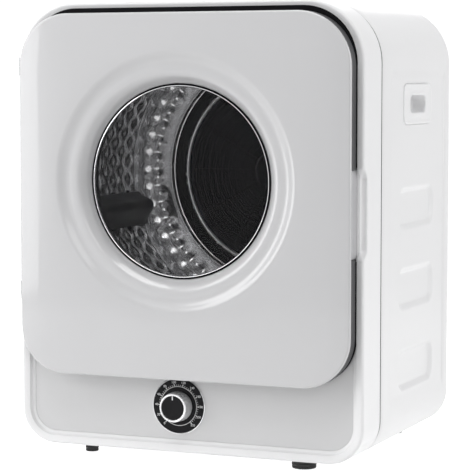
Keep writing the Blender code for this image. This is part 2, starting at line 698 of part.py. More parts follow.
def build_door_pull():
    """The white finger pull let into the side of the door."""
    side = DOOR_HALF - 0.0006
    pull = block("door_pull", (DOOR_HALF - 0.0122, DOOR_Y + 0.0029, PULL_Z - PULL_H / 2 + GAP),
                 (side, LINER_BACK_Y, PULL_Z + PULL_H / 2 - GAP), "white_plastic", 0.0006)
    scoop = rod("pull_scoop", (side + 0.034, (DOOR_Y + RIM_Y) / 2 + 0.004, PULL_Z - PULL_H / 2 + 0.006),
                (side + 0.034, (DOOR_Y + RIM_Y) / 2 + 0.004, PULL_Z + PULL_H / 2 - 0.006), 0.0358, None,
                64)
    return cut(pull, scoop)


def build_latch():
    """The hook on the door, the catch behind the panel and the door switch with its plunger."""
    half = 0.0045
    hook_end = PANEL_Y + 0.020
    hook = block("latch_hook", (LATCH_X - half, LINER_BACK_Y + GAP, LATCH_Z - 0.010),
                 (LATCH_X + half, hook_end, LATCH_Z + 0.006), "grey_plastic", 0.001)
    nose = block("hook_nose", (LATCH_X - half, hook_end - 0.006, LATCH_Z - 0.010),
                 (LATCH_X + half, hook_end - 0.0005, LATCH_Z + 0.010), None)
    join(hook, nose)
    back = PANEL_Y + PANEL_T + GAP
    catch = block("door_catch", (LATCH_X - 0.010, back, LATCH_Z - 0.020),
                  (LATCH_X + 0.010, back + 0.022, LATCH_Z + 0.022), "grey_plastic", 0.001)
    mouth = block("catch_mouth", (LATCH_X - 0.0065, back - 0.01, LATCH_Z - 0.0135),
                  (LATCH_X + 0.0065, back + 0.030, LATCH_Z + 0.0135), None)
    cut(catch, mouth)
    switch_y = back + 0.022 + GAP
    body = block("door_switch", (LATCH_X - 0.010, switch_y, LATCH_Z - 0.018),
                 (LATCH_X + 0.010, switch_y + 0.013, LATCH_Z + 0.018), "black_plastic", 0.001)
    bore_r = 0.0026
    cut(body, rod("plunger_bore", (LATCH_X, switch_y - 0.01, LATCH_Z),
                  (LATCH_X, switch_y + 0.010, LATCH_Z), bore_r + SHAFT_CLEAR, None, 24))
    tip = hook_end + 0.0008
    plunger = rod("switch_plunger", (LATCH_X, tip, LATCH_Z), (LATCH_X, switch_y + 0.0055, LATCH_Z),
                  bore_r, "white_plastic", 24)
    put_origin(plunger, (LATCH_X, tip, LATCH_Z))


def build_hinges():
    """Each hinge: an arm with its pin on the frame, and a leaf that turns on the pin."""
    seat = PANEL_Y + PANEL_T - 0.0004
    for name, z in hinge_heights():
        x0, x1 = HINGE_X - ARM_T / 2, HINGE_X + ARM_T / 2
        low, high = z - KNUCKLE_H, z + KNUCKLE_H
        arm = block(f"hinge_arm_{name}", (x0, HINGE_Y, low), (x1, seat, z - 0.0004), "zinc_steel")
        knuckle = rod(f"arm_knuckle_{name}", (HINGE_X, HINGE_Y, low), (HINGE_X, HINGE_Y, z - 0.0004),
                      KNUCKLE_R, None, 24)
        pin = rod(f"arm_pin_{name}", (HINGE_X, HINGE_Y, low + 0.002), (HINGE_X, HINGE_Y, high), PIN_R,
                  None, 24)
        join(arm, knuckle, pin)
        leaf_y = EDGE_Y + 0.0006
        leaf = block(f"hinge_leaf_{name}", (HINGE_X, leaf_y, z), (-DOOR_HALF + 0.0200, leaf_y + 0.003,
                                                                  high), "zinc_steel")
        sleeve = rod(f"leaf_sleeve_{name}", (HINGE_X, HINGE_Y, z), (HINGE_X, HINGE_Y, high), KNUCKLE_R,
                     None, 24)
        bore = rod(f"leaf_bore_{name}", (HINGE_X, HINGE_Y, z - 0.01), (HINGE_X, HINGE_Y, high + 0.01),
                   PIN_R + GAP, None, 24)
        cut(join(leaf, sleeve), bore)
        put_origin(leaf, (HINGE_X, HINGE_Y, z))


# Drum ------------------------------------------------------------------------------------

def build_drum():
    """The stainless drum: wall with the mouth, pressed back, lifters, filter and shaft."""
    corner = 0.011
    joint_y = DRUM_Y1 - DRUM_CORNER
    front = [(MOUTH_R, DRUM_Y0), (DRUM_R - corner, DRUM_Y0)]
    front += [(DRUM_R - corner + corner * math.sin(a), DRUM_Y0 + corner - corner * math.cos(a))
              for a in (math.radians(30), math.radians(60), math.radians(90))]
    wall = front + [(DRUM_R, joint_y)]
    turned("drum_shell", sheet(wall, DRUM_SHEET), "stainless_drum")
    bend = [(DRUM_R - DRUM_CORNER + DRUM_CORNER * math.cos(a), joint_y + DRUM_CORNER * math.sin(a))
            for a in (math.radians(d) for d in (0, 22.5, 45, 67.5, 90))]
    bend[0] = (DRUM_R, joint_y + GAP)
    rings = [(0.172, DRUM_Y1), (0.168, DRUM_Y1 - 0.004), (0.163, DRUM_Y1 - 0.004),
             (0.159, DRUM_Y1), (0.012, DRUM_Y1)]
    rings = [(min(r, DRUM_R - DRUM_CORNER - 0.002 * n), y) for n, (r, y) in enumerate(rings, 1)]
    turned("drum_back", sheet(bend + rings, DRUM_SHEET), "stainless_drum")
    filter_r = min(FILTER_R, DRUM_R - DRUM_CORNER - 0.016)
    inner = DRUM_Y1 - DRUM_SHEET - GAP
    turned("lint_filter_cover", [(filter_r, inner), (filter_r, inner - 0.002), (filter_r - 0.003,
                                 inner - 0.004), (filter_r - 0.012, inner - 0.0045),
                                 (0.020, inner - 0.0065)], "grey_plastic", closed=False)
    shaft = turned("drum_shaft", [(SHAFT_R, COVER_Y - COVER_T - 0.0006), (SHAFT_R, DRUM_Y1 + 0.0035),
                                  (0.030, DRUM_Y1 + 0.0025), (0.030, DRUM_Y1 + GAP),
                                  (0.011, DRUM_Y1 + GAP), (0.011, inner + GAP)], "zinc_steel",
                   steps=16, closed=False)
    put_origin(shaft, (WINDOW_X, DRUM_Y1, WINDOW_Z))
    for number in range(LIFTER_COUNT):
        build_lifter(number)
    hub = COVER_Y - COVER_T - GAP
    near = DRUM_Y1 + 0.0045
    turned("drum_bearing", [(SHAFT_R + SHAFT_CLEAR, near), (0.020, near), (0.022, near + 0.004),
                            (0.040, hub - 0.003), (0.044, hub - 0.002), (0.044, hub),
                            (SHAFT_R + SHAFT_CLEAR, hub)], "cast_metal", steps=16)


def build_lifter(number):
    """A lifter: a hollow-looking ridge along the drum wall with sloping ends."""
    angle = math.radians(LIFTER_ANGLE + 360.0 * number / LIFTER_COUNT)
    outward = Vector((math.cos(angle), 0, math.sin(angle)))
    across = Vector((-math.sin(angle), 0, math.cos(angle)))
    centre = Vector((WINDOW_X, 0, WINDOW_Z))
    base_r = (DRUM_R - DRUM_SHEET) * math.cos(math.pi / ROUND_STEPS) - GAP
    start, end = DRUM_Y0 + 0.016, DRUM_Y1 - DRUM_CORNER - 0.004
    rings = []
    for y, rise in ((start, 0.25), (start + 0.02, 0.9), (start + 0.04, 1.0), (end - 0.04, 1.0),
                    (end - 0.02, 0.9), (end, 0.25)):
        ring = []
        for k in range(-3, 4):
            spread = k / 3 * LIFTER_W / 2
            reach = math.sqrt(base_r ** 2 - spread ** 2)
            ring.append(centre + outward * reach + across * spread + Vector((0, y, 0)))
        for side, height in ((0.62, 0.45), (0.40, 0.82), (0.16, 1.0), (-0.16, 1.0), (-0.40, 0.82),
                             (-0.62, 0.45)):
            reach = base_r - 0.002 - LIFTER_H * height * rise
            ring.append(centre + outward * reach + across * side * LIFTER_W / 2 + Vector((0, y, 0)))
        rings.append(ring)
    loft(f"drum_lifter_{number + 1}", rings, "grey_plastic")


# Drive -----------------------------------------------------------------------------------

def build_motor():
    """The motor body on its bracket, and the rotor with the belt pulley and blower wheel."""
    half = MOTOR_L / 2
    y0, y1 = MOTOR_Y - half, MOTOR_Y + half
    bore = ROTOR_R + SHAFT_CLEAR
    turned("motor_body", [(bore, y0), (0.018, y0), (0.020, y0 + 0.010), (MOTOR_R - 0.004, y0 + 0.010),
                          (MOTOR_R, y0 + 0.014), (MOTOR_R, y1 - 0.014), (MOTOR_R - 0.004, y1 - 0.010),
                          (0.020, y1 - 0.010), (0.018, y1), (bore, y1)], "cast_metal",
           MOTOR_X, MOTOR_Z, 24)
    seat = FLOOR_Z + BASE_T + GAP
    cradle = block("motor_bracket", (MOTOR_X - 0.034, MOTOR_Y - 0.028, seat),
                   (MOTOR_X + 0.034, MOTOR_Y + 0.028, MOTOR_Z - 0.012), "zinc_steel", 0.0015)
    cut(cradle, rod("cradle_bed", (MOTOR_X, MOTOR_Y - 0.05, MOTOR_Z), (MOTOR_X, MOTOR_Y + 0.05, MOTOR_Z),
                    MOTOR_R + GAP, None, 24),
        block("cradle_room", (MOTOR_X - 0.022, MOTOR_Y - 0.05, seat + 0.0025),
              (MOTOR_X + 0.022, MOTOR_Y + 0.05, MOTOR_Z - 0.03), None))
    wheel_y = y1 + 0.022
    shaft = rod("motor_shaft", (MOTOR_X, BELT_Y - PULLEY_W / 2 - 0.003, MOTOR_Z),
                (MOTOR_X, wheel_y + BLOWER_W - 0.004, MOTOR_Z), ROTOR_R, "zinc_steel", 24)
    put_origin(shaft, (MOTOR_X, MOTOR_Y, MOTOR_Z))
    grip = ROTOR_R + GAP
    flange = PULLEY_R + 0.0035
    p0, p1 = BELT_Y - PULLEY_W / 2, BELT_Y + PULLEY_W / 2
    turned("motor_pulley", [(grip, p0), (flange, p0), (flange, p0 + 0.0016), (PULLEY_R, p0 + 0.0018),
                            (PULLEY_R, p1 - 0.0018), (flange, p1 - 0.0016), (flange, p1), (grip, p1)],
           "zinc_steel", MOTOR_X, MOTOR_Z, 24)
    wheel = turned("blower_wheel", [(grip, wheel_y), (0.014, wheel_y), (0.016, wheel_y + 0.003),
                                    (BLOWER_R, wheel_y + 0.004), (BLOWER_R, wheel_y + BLOWER_W),
                                    (BLOWER_R - 0.012, wheel_y + BLOWER_W),
                                    (BLOWER_R - 0.012, wheel_y + 0.006), (0.012, wheel_y + 0.006),
                                    (0.011, wheel_y + 0.018), (grip, wheel_y + 0.018)],
                   "grey_plastic", MOTOR_X, MOTOR_Z, 24)
    for blade in range(8):
        angle = math.tau * (blade + 0.5) / 8
        spoke = Vector((math.cos(angle), 0, math.sin(angle)))
        place = Vector((MOTOR_X, wheel_y + 0.02, MOTOR_Z)) + spoke * BLOWER_R
        gap = block(f"blade_gap_{blade}", (-0.018, -0.011, -0.0035), (0.018, 0.011, 0.0035), None)
        gap.location = place
        gap.rotation_euler = (0, -angle, 0)
        cut(wheel, gap)


def build_blower_housing():
    """The blower scroll, open at the back into the exhaust collar."""
    front = MOTOR_Y + MOTOR_L / 2 + 0.014
    back = front + BLOWER_W + 0.016
    inner = HOUSING_R - BLOWER_WALL
    turned("blower_housing", [(0.009, front), (HOUSING_R, front), (HOUSING_R, back), (DUCT_R, back),
                              (DUCT_R, back - BLOWER_WALL), (inner, back - BLOWER_WALL),
                              (inner, front + BLOWER_WALL), (0.009, front + BLOWER_WALL)],
           "grey_plastic", MOTOR_X, MOTOR_Z, 24)
    start = back + GAP
    outer = DUCT_R + DUCT_WALL
    turned("exhaust_collar", [(DUCT_R, start), (outer + 0.006, start), (outer + 0.006, start + 0.003),
                              (outer, start + 0.003), (outer, BACK_Y - 0.0006),
                              (DUCT_R, BACK_Y - 0.0006)],
           "black_plastic", MOTOR_X, MOTOR_Z, 24)


def build_belt():
    """The flat belt round the drum and the motor pulley, along their outer tangents."""
    drum = Vector((WINDOW_X, 0, WINDOW_Z))
    pulley = Vector((MOTOR_X, 0, MOTOR_Z))
    apart = (pulley - drum).length
    lead = math.atan2(pulley.z - drum.z, pulley.x - drum.x)
    rings = []
    for y, offset in ((BELT_Y - BELT_W / 2, 0), (BELT_Y + BELT_W / 2, 0),
                      (BELT_Y + BELT_W / 2, BELT_T), (BELT_Y - BELT_W / 2, BELT_T)):
        big = (DRUM_R + GAP) / math.cos(math.pi / 40) + offset
        small = (PULLEY_R + GAP) / math.cos(math.pi / 16) + offset
        lean = math.acos((big - small) / apart)
        ring = []
        for centre, radius, first, last, steps in (
                (drum, big, lead + lean, lead + math.tau - lean, 40),
                (pulley, small, lead - lean, lead + lean, 8)):
            for step in range(steps + 1):
                angle = first + (last - first) * step / steps
                ring.append(centre + Vector((radius * math.cos(angle), y, radius * math.sin(angle))))
        rings.append(ring)
    loft("drive_belt", rings, "rubber_black", closed=True)


def build_heater():
    """The heater duct under the drum, its ceramic element and the safety thermostat."""
    x0, x1 = HEATER_X - HEATER_W / 2, HEATER_X + HEATER_W / 2
    y0, y1 = 0.060, PAN_REAR_Y - BASE_T - GAP
    z0 = FLOOR_Z + BASE_T + GAP
    z1 = z0 + 0.082
    duct = block("heater_duct", (x0, y0, z0), (x1, y1, z1), "zinc_steel", 0.001)
    wall = 0.0015
    cut(duct, block("duct_hollow", (x0 + wall, y0 - 0.01, z0 + wall), (x1 - wall, y1 + 0.01, z1 - wall),
                    None))
    element = block("heater_element", (x0 + wall + GAP, y0 + 0.03, z0 + wall + GAP),
                    (x1 - wall - GAP, y0 + 0.048, z1 - wall - GAP), "ceramic_heater")
    for row in range(5):
        low = z0 + 0.010 + 0.014 * row
        cut(element, block(f"fin_gap_{row}", (x0 + 0.01, y0, low), (x1 - 0.01, y0 + 0.08, low + 0.008),
                           None))
    x = (x0 + x1) / 2
    rod("safety_thermostat", (x, y0 + 0.04, z1 + GAP), (x, y0 + 0.04, z1 + 0.011), 0.010,
        "black_plastic", 24)


def build_capacitor():
    """The motor's run capacitor, standing on the base pan."""
    z = FLOOR_Z + BASE_T + GAP
    rod("run_capacitor", (0.02, 0.03, z), (0.02, 0.03, z + 0.07), 0.0175, "grey_plastic", 24)


def main():
    for old in list(bpy.data.objects):
        bpy.data.objects.remove(old)
    build_wrap()
    build_front_frame()
    build_front_panel()
    build_pull_recess()
    build_front_collar()
    build_drum_seal()
    build_base_pan()
    build_rear_cover()
    build_screws()
    build_power_inlet()
    build_side_grips()
    build_feet()
    build_dial()
    build_door_shell()
    build_door_liner()
    build_window()
    build_door_gasket()
    build_door_pull()
    build_latch()
    build_hinges()
    build_drum()
    build_motor()
    build_blower_housing()
    build_belt()
    build_heater()
    build_capacitor()


main()
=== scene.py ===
from math import copysign, cos, exp, hypot, pi, radians, sin, sqrt, tau

import bmesh
import bpy
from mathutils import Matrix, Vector


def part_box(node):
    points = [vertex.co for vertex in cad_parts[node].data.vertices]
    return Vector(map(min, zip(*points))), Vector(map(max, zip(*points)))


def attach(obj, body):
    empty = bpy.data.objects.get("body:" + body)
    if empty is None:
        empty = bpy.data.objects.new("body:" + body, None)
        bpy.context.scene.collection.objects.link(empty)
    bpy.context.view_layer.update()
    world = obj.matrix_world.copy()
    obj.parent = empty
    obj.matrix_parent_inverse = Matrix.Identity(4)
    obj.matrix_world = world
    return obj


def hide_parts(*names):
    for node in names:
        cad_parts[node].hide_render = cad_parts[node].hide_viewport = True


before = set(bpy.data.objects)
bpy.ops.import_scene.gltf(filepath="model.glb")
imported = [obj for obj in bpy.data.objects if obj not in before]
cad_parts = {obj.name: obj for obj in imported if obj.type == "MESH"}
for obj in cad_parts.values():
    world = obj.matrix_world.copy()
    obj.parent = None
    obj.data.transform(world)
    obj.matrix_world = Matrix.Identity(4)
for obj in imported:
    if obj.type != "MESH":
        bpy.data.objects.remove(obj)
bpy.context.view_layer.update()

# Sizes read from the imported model
WRAP_LOW, WRAP_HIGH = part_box("cabinet_wrap")
FRAME_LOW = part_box("front_frame")[0]
DOOR_LOW, DOOR_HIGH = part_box("door_shell")
LINER_LOW, LINER_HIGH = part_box("door_liner")
PANEL_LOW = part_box("front_panel")[0]
GLASS_LOW, GLASS_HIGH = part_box("door_window")
DRUM_LOW, DRUM_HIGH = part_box("drum_shell")
DRUM_BACK_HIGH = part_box("drum_back")[1]
PULL_LOW, PULL_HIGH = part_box("door_pull")
GRIP_LOW, GRIP_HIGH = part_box("side_grip_right")
COVER_BACK_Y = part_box("rear_cover")[1].y

HALF_W = WRAP_HIGH.x
BASE_Z, TOP_Z = WRAP_LOW.z, WRAP_HIGH.z
BACK_Y = WRAP_HIGH.y
WRAP_Y = WRAP_LOW.y
RIM_Y = FRAME_LOW.y
PANEL_Y = PANEL_LOW.y
SEAM_Y = WRAP_Y - 0.0016
DOOR_Y, EDGE_Y = DOOR_LOW.y, DOOR_HIGH.y
DOOR_HALF = DOOR_HIGH.x
CENTRE_X = (GLASS_LOW.x + GLASS_HIGH.x) / 2
CENTRE_Z = (GLASS_LOW.z + GLASS_HIGH.z) / 2
GLASS_R = (GLASS_HIGH.x - GLASS_LOW.x) / 2
WINDOW_R = GLASS_R - 0.0032
DRUM_R = (DRUM_HIGH.x - DRUM_LOW.x) / 2
PULL_Z = (PULL_LOW.z + PULL_HIGH.z) / 2
PULL_HALF = (PULL_HIGH.z - PULL_LOW.z) / 2

BODY = (HALF_W, BASE_Z, TOP_Z, 0.080, 0.048)
DOOR = (DOOR_HALF, DOOR_LOW.z, DOOR_HIGH.z, 0.071, 0.064)
RIM_W = 0.0145
PANEL_HOLE_R = 0.1465
COLLAR_R = 0.1436
DRUM_MOUTH_R = 0.150
DIMPLES_ROUND = 48
SCREW_CIRCLE_R = 0.1850
FIRST_LIFTER = 196.0                    # degrees
DIAL_START, DIAL_SWEEP = 230, 280       # degrees
KNOB_FLUTES = 30
PRESS_HALF_Y, PRESS_HALF_Z, PRESS_DEPTH = 0.0765, 0.028, 0.0046
CREASE_DEPTH = 0.0018
PULL_DEPTH_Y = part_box("pull_recess")[1].y + 0.0003
ROLL_W, ROLL_D = 0.046, 0.0032          # how wide and how deep the door's sides fall away
PRESS_Y = RIM_Y + 0.2205                # middles of the three pressed panels
PRESS_Z = [TOP_Z - d for d in (0.273, 0.381, 0.490)]
GRIP_Y, GRIP_Z = (GRIP_LOW.y + GRIP_HIGH.y) / 2, (GRIP_LOW.z + GRIP_HIGH.z) / 2


def spread(low, high, count):
    return [low + (high - low) * i / (count - 1) for i in range(count)]


# Heights at which the frame's and the door's straight sides are divided
FRAME_LEVELS = sorted(set(
    [round(PULL_Z + s * (PULL_HALF + d), 5) for s in (-1, 1)
     for d in (0.0042, 0.0030, 0.0018, 0.0009, 0.0, -0.0015, -0.0035, -0.006, -0.0085, -0.0105,
               -0.012, -0.0135, -0.016)]
    + [round(z, 5) for z in spread(BASE_Z + 0.052, TOP_Z - 0.084, 26)
       if abs(z - PULL_Z) > PULL_HALF + 0.008]
    + [round(z, 5) for z in spread(PULL_Z - PULL_HALF + 0.02, PULL_Z + PULL_HALF - 0.02, 8)]))
DOOR_LEVELS = [round(z, 5) for z in spread(DOOR_LOW.z + 0.070, DOOR_HIGH.z - 0.077, 20)]


# Materials ---------------------------------------------------------------------------------

def finish(name, colour, roughness, metallic=0.0, vary=0.02, vary_scale=7.0, grain=900.0,
           relief=0.02, rough_spread=0.06, stretch=(1, 1, 1), **sockets):
    """A procedural finish: slow colour drift, uneven gloss and a fine grain in the surface."""
    made = bpy.data.materials.new(name)
    made.use_nodes = True
    tree = made.node_tree
    shader = tree.nodes["Principled BSDF"]
    place = tree.nodes.new("ShaderNodeTexCoord")
    scale = tree.nodes.new("ShaderNodeMapping")
    scale.inputs["Scale"].default_value = stretch
    tree.links.new(place.outputs["Object"], scale.inputs["Vector"])

    def noise(size, detail):
        node = tree.nodes.new("ShaderNodeTexNoise")
        node.inputs["Scale"].default_value = size
        node.inputs["Detail"].default_value = detail
        tree.links.new(scale.outputs["Vector"], node.inputs["Vector"])
        return node

    drift = noise(vary_scale, 3.0)
    ramp = tree.nodes.new("ShaderNodeValToRGB")
    ramp.color_ramp.elements[0].position = 0.3
    ramp.color_ramp.elements[1].position = 0.7
    ramp.color_ramp.elements[0].color = (*[c * (1 - vary) for c in colour], 1)
    ramp.color_ramp.elements[1].color = (*[min(c * (1 + vary), 1) for c in colour], 1)
    tree.links.new(drift.outputs["Fac"], ramp.inputs["Fac"])
    tree.links.new(ramp.outputs["Color"], shader.inputs["Base Color"])
    gloss = noise(vary_scale * 4, 4.0)
    limits = tree.nodes.new("ShaderNodeMapRange")
    limits.inputs["To Min"].default_value = max(roughness - rough_spread, 0.01)
    limits.inputs["To Max"].default_value = roughness + rough_spread
    tree.links.new(gloss.outputs["Fac"], limits.inputs["Value"])
    tree.links.new(limits.outputs["Result"], shader.inputs["Roughness"])
    fine = noise(grain, 2.0)
    bump = tree.nodes.new("ShaderNodeBump")
    bump.inputs["Strength"].default_value = relief
    bump.inputs["Distance"].default_value = 0.001
    tree.links.new(fine.outputs["Fac"], bump.inputs["Height"])
    tree.links.new(bump.outputs["Normal"], shader.inputs["Normal"])
    shader.inputs["Metallic"].default_value = metallic
    for socket, value in sockets.items():
        shader.inputs[socket.replace("_", " ")].default_value = value
    return made


LOOKS = {
    "white_enamel": finish("enamel", (0.80, 0.80, 0.805), 0.34, vary=0.008, grain=420, relief=0.05,
                           Coat_Weight=0.08, Coat_Roughness=0.12, Specular_IOR_Level=0.3),
    "white_plastic": finish("moulded_white", (0.84, 0.84, 0.845), 0.36, vary=0.008, grain=1600,
                            relief=0.10, Specular_IOR_Level=0.3),
    "door_white": finish("door_gloss", (0.54, 0.54, 0.548), 0.24, vary=0.006, grain=160, relief=0.012,
                         rough_spread=0.03, Coat_Weight=0.6, Coat_Roughness=0.05),
    "black_plastic": finish("moulded_black", (0.005, 0.005, 0.006), 0.42, vary=0.25, grain=1500,
                            relief=0.12, Specular_IOR_Level=0.12),
    "chrome_trim": finish("chrome", (0.86, 0.86, 0.87), 0.10, 1.0, vary=0.02, rough_spread=0.03),
    "silver_knob": finish("silver_lacquer", (0.82, 0.82, 0.83), 0.28, 0.45, vary=0.03, grain=2500,
                          relief=0.08),
    "stainless_drum": finish("stainless", (0.80, 0.80, 0.81), 0.26, 0.92, vary=0.06, vary_scale=14,
                             grain=260, relief=0.03, stretch=(1, 6, 1)),
    "grey_plastic": finish("moulded_grey", (0.058, 0.058, 0.061), 0.42, vary=0.06, grain=1400,
                           relief=0.12, Specular_IOR_Level=0.3),
    "zinc_steel": finish("zinc_plate", (0.36, 0.365, 0.37), 0.40, 0.9, vary=0.06, vary_scale=26,
                         grain=500, relief=0.12),
    "cast_metal": finish("cast", (0.42, 0.42, 0.42), 0.55, 0.8, vary=0.12, vary_scale=40, grain=700,
                         relief=0.5),
    "rubber_black": finish("rubber", (0.02, 0.02, 0.02), 0.72, vary=0.3, vary_scale=30, grain=1100,
                           relief=0.35),
    "seal_rubber": finish("seal", (0.006, 0.006, 0.007), 0.6, vary=0.3, vary_scale=30, grain=1100,
                          relief=0.25, Specular_IOR_Level=0.05),
    "felt_grey": finish("felt", (0.28, 0.27, 0.26), 0.95, vary=0.25, vary_scale=120, grain=900,
                        relief=1.0, Sheen_Weight=0.4),
    "ceramic_heater": finish("ceramic", (0.45, 0.40, 0.34), 0.7, vary=0.12, vary_scale=60, grain=800,
                             relief=0.5),
    "smoked_glass": finish("smoked", (0.004, 0.004, 0.005), 0.03, vary=0.2, grain=60, relief=0.004,
                           rough_spread=0.015, Alpha=0.10, IOR=1.6),
}
PANEL_WHITE = finish("panel_satin", (0.62, 0.62, 0.625), 0.34, vary=0.008, grain=1600, relief=0.08)
# Painted shade: the door pull is white plastic; this grey stands for the shade in its finger recess
PULL_PAINTED_SHADE = finish("pull_painted_shade", (0.44, 0.44, 0.45), 0.40, vary=0.012, grain=1600, relief=0.10)
INK = finish("dial_ink", (0.80, 0.80, 0.80), 0.5, vary=0.03, grain=1500, relief=0.05)


# Making pieces -----------------------------------------------------------------------------

def seat(piece, body, slot, replaced=(), look=None):
    """Gives a finished piece its material and its body, and hides the nodes it replaces."""
    piece.data.materials.clear()
    piece.data.materials.append(look or LOOKS[slot])
    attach(piece, body)
    if replaced:
        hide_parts(*replaced)
    return piece


def smooth(mesh, sharp):
    mesh.shade_smooth()
    mesh.set_sharp_from_angle(angle=radians(sharp))


def axis_of(node):
    """Where a round node's axis, parallel to Y, crosses X and Z."""
    low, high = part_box(node)
    return (low.x + high.x) / 2, (low.z + high.z) / 2


def directions(angle):
    """Outward and sideways round an axis parallel to Y."""
    return Vector((cos(angle), 0, sin(angle))), Vector((-sin(angle), 0, cos(angle)))


def from_bmesh(name, builder, sharp=32.0):
    bmesh.ops.recalc_face_normals(builder, faces=builder.faces)
    mesh = bpy.data.meshes.new(name)
    builder.to_mesh(mesh)
    builder.free()
    smooth(mesh, sharp)
    made = bpy.data.objects.new(name, mesh)
    bpy.context.collection.objects.link(made)
    return made


def skin(name, rows, around=True, closed=False, caps=(False, False), sharp=32.0, keep=None):
    """A surface through rows of points. around joins each row's ends, closed joins the last row
    to the first, caps fill the first and last row, and keep(row, column) leaves out quads."""
    builder = bmesh.new()
    grid = [[builder.verts.new(point) for point in row] for row in rows]
    count = len(rows[0])
    last = len(rows) if closed else len(rows) - 1
    for i in range(last):
        near, far = grid[i], grid[(i + 1) % len(rows)]
        for j in range(count if around else count - 1):
            if keep and not keep(i, j):
                continue
            k = (j + 1) % count
            builder.faces.new((near[j], near[k], far[k], far[j]))
    for wanted, loop in zip(caps, (grid[0], grid[-1])):
        if wanted:
            builder.faces.new(loop)
    loose = [v for v in builder.verts if not v.link_faces]
    bmesh.ops.delete(builder, geom=loose, context="VERTS")
    return from_bmesh(name, builder, sharp)


def outline(shape, inset, y, levels=(), steps=14, across=12):
    """Rounded rectangle in a plane of constant y. levels are extra heights on its two sides."""
    half, low, high, top_radius, bottom_radius = shape
    half, low, high = half - inset, low + inset, high - inset
    upper, lower = max(top_radius - inset, 0.003), max(bottom_radius - inset, 0.003)
    points = []

    def corner(x, z, radius, start):
        for step in range(steps + 1):
            angle = radians(start + 90 * step / steps)
            points.append(Vector((x + radius * cos(angle), y, z + radius * sin(angle))))

    corner(half - lower, low + lower, lower, -90)
    points.extend(Vector((half, y, z)) for z in levels)
    corner(half - upper, high - upper, upper, 0)
    points.extend(Vector((x, y, high)) for x in spread(half - upper, upper - half, across)[1:-1])
    corner(upper - half, high - upper, upper, 90)
    points.extend(Vector((-half, y, z)) for z in reversed(levels))
    corner(lower - half, low + lower, lower, 180)
    points.extend(Vector((x, y, low)) for x in spread(lower - half, half - lower, across)[1:-1])
    return points


def body_ring(inset, y):
    return outline(BODY, inset, y, FRAME_LEVELS)


def door_ring(inset, y):
    return outline(DOOR, inset, y, DOOR_LEVELS)


def circle(radius, y, x=CENTRE_X, z=CENTRE_Z, steps=128):
    return [Vector((x + radius * cos(tau * i / steps), y,
                    z + radius * sin(tau * i / steps))) for i in range(steps)]


def turned(name, profile, x=CENTRE_X, z=CENTRE_Z, steps=128, closed=True, caps=(False, False),
           sharp=32.0):
    """A body of revolution round an axis parallel to Y, from (radius, y) points."""
    return skin(name, [circle(r, y, x, z, steps) for r, y in profile], closed=closed, caps=caps,
                sharp=sharp)


def facing(outer, radius, y):
    """Circle round the window whose points lie on the rays to an outline's points."""
    points = []
    for point in outer:
        ray = Vector((point.x - CENTRE_X, 0, point.z - CENTRE_Z)).normalized()
        points.append(Vector((CENTRE_X + radius * ray.x, y, CENTRE_Z + radius * ray.z)))
    return points


def offset(steps, radius, y):
    """Profile points given as steps from one radius and one y."""
    return [(radius + out, y + along) for out, along in steps]


def curve_through(points, per_span=4):
    """A smooth line through (a, b) points."""
    line = []
    for i in range(len(points) - 1):
        p0 = points[max(i - 1, 0)]
        p1, p2 = points[i], points[i + 1]
        p3 = points[min(i + 2, len(points) - 1)]
        for step in range(per_span):
            t = step / per_span
            line.append(tuple(
                0.5 * (2 * p1[k] + (p2[k] - p0[k]) * t
                       + (2 * p0[k] - 5 * p1[k] + 4 * p2[k] - p3[k]) * t * t
                       + (3 * p1[k] - p0[k] - 3 * p2[k] + p3[k]) * t ** 3) for k in (0, 1)))
    line.append(points[-1])
    return line


def ease(t):
    t = min(max(t, 0.0), 1.0)
    return t * t * (3 - 2 * t)


def rounded_block(name, low, high, radius, segments=3):
    """A moulded block with rounded edges, baked into its mesh."""
    builder = bmesh.new()
    bmesh.ops.create_cube(builder, size=1.0)
    low, high = Vector(low), Vector(high)
    bmesh.ops.scale(builder, vec=high - low, verts=builder.verts)
    bmesh.ops.translate(builder, vec=(low + high) / 2, verts=builder.verts)
    bmesh.ops.bevel(builder, geom=builder.edges[:], offset=radius, segments=segments,
                    profile=0.5, affect="EDGES", clamp_overlap=True)
    return from_bmesh(name, builder)


def carve(target, tool):
    """Cuts one piece out of another and bakes the result."""
    step = target.modifiers.new("cut", "BOOLEAN")
    step.operation = "DIFFERENCE"
    step.object = tool
    step.solver = "EXACT"
    graph = bpy.context.evaluated_depsgraph_get()
    mesh = bpy.data.meshes.new_from_object(target.evaluated_get(graph))
    target.modifiers.clear()
    target.data = mesh
    bpy.data.objects.remove(tool)
    return target


# Camera, floor and light -------------------------------------------------------------------

def add_camera():
    data = bpy.data.cameras.new("camera")
    data.lens = 153.07
    data.sensor_width = 36.0
    data.clip_end = 60.0
    camera = bpy.data.objects.new("camera", data)
    camera.location = (1.0668, -2.5418, 0.5024)
    camera.rotation_euler = (radians(90 - 4.442), 0, radians(22.828))
    bpy.context.collection.objects.link(camera)
    bpy.context.scene.camera = camera


def add_light(name, place, target, width, height, power):
    data = bpy.data.lights.new(name, "AREA")
    data.shape = "RECTANGLE"
    data.size, data.size_y = width, height
    data.energy = power
    lamp = bpy.data.objects.new(name, data)
    lamp.location = place
    lamp.rotation_euler = (Vector(target) - Vector(place)).to_track_quat("-Z", "Y").to_euler()
    lamp.visible_camera = False
    bpy.context.collection.objects.link(lamp)


def by_sight(tree, socket, fill, seen):
    """The studio as it is seen and mirrored, and a lower strength for the fill light it gives."""
    path = tree.nodes.new("ShaderNodeLightPath")
    level = tree.nodes.new("ShaderNodeMapRange")
    level.inputs["To Min"].default_value = seen
    level.inputs["To Max"].default_value = fill
    tree.links.new(path.outputs["Is Diffuse Ray"], level.inputs["Value"])
    tree.links.new(level.outputs["Result"], socket)


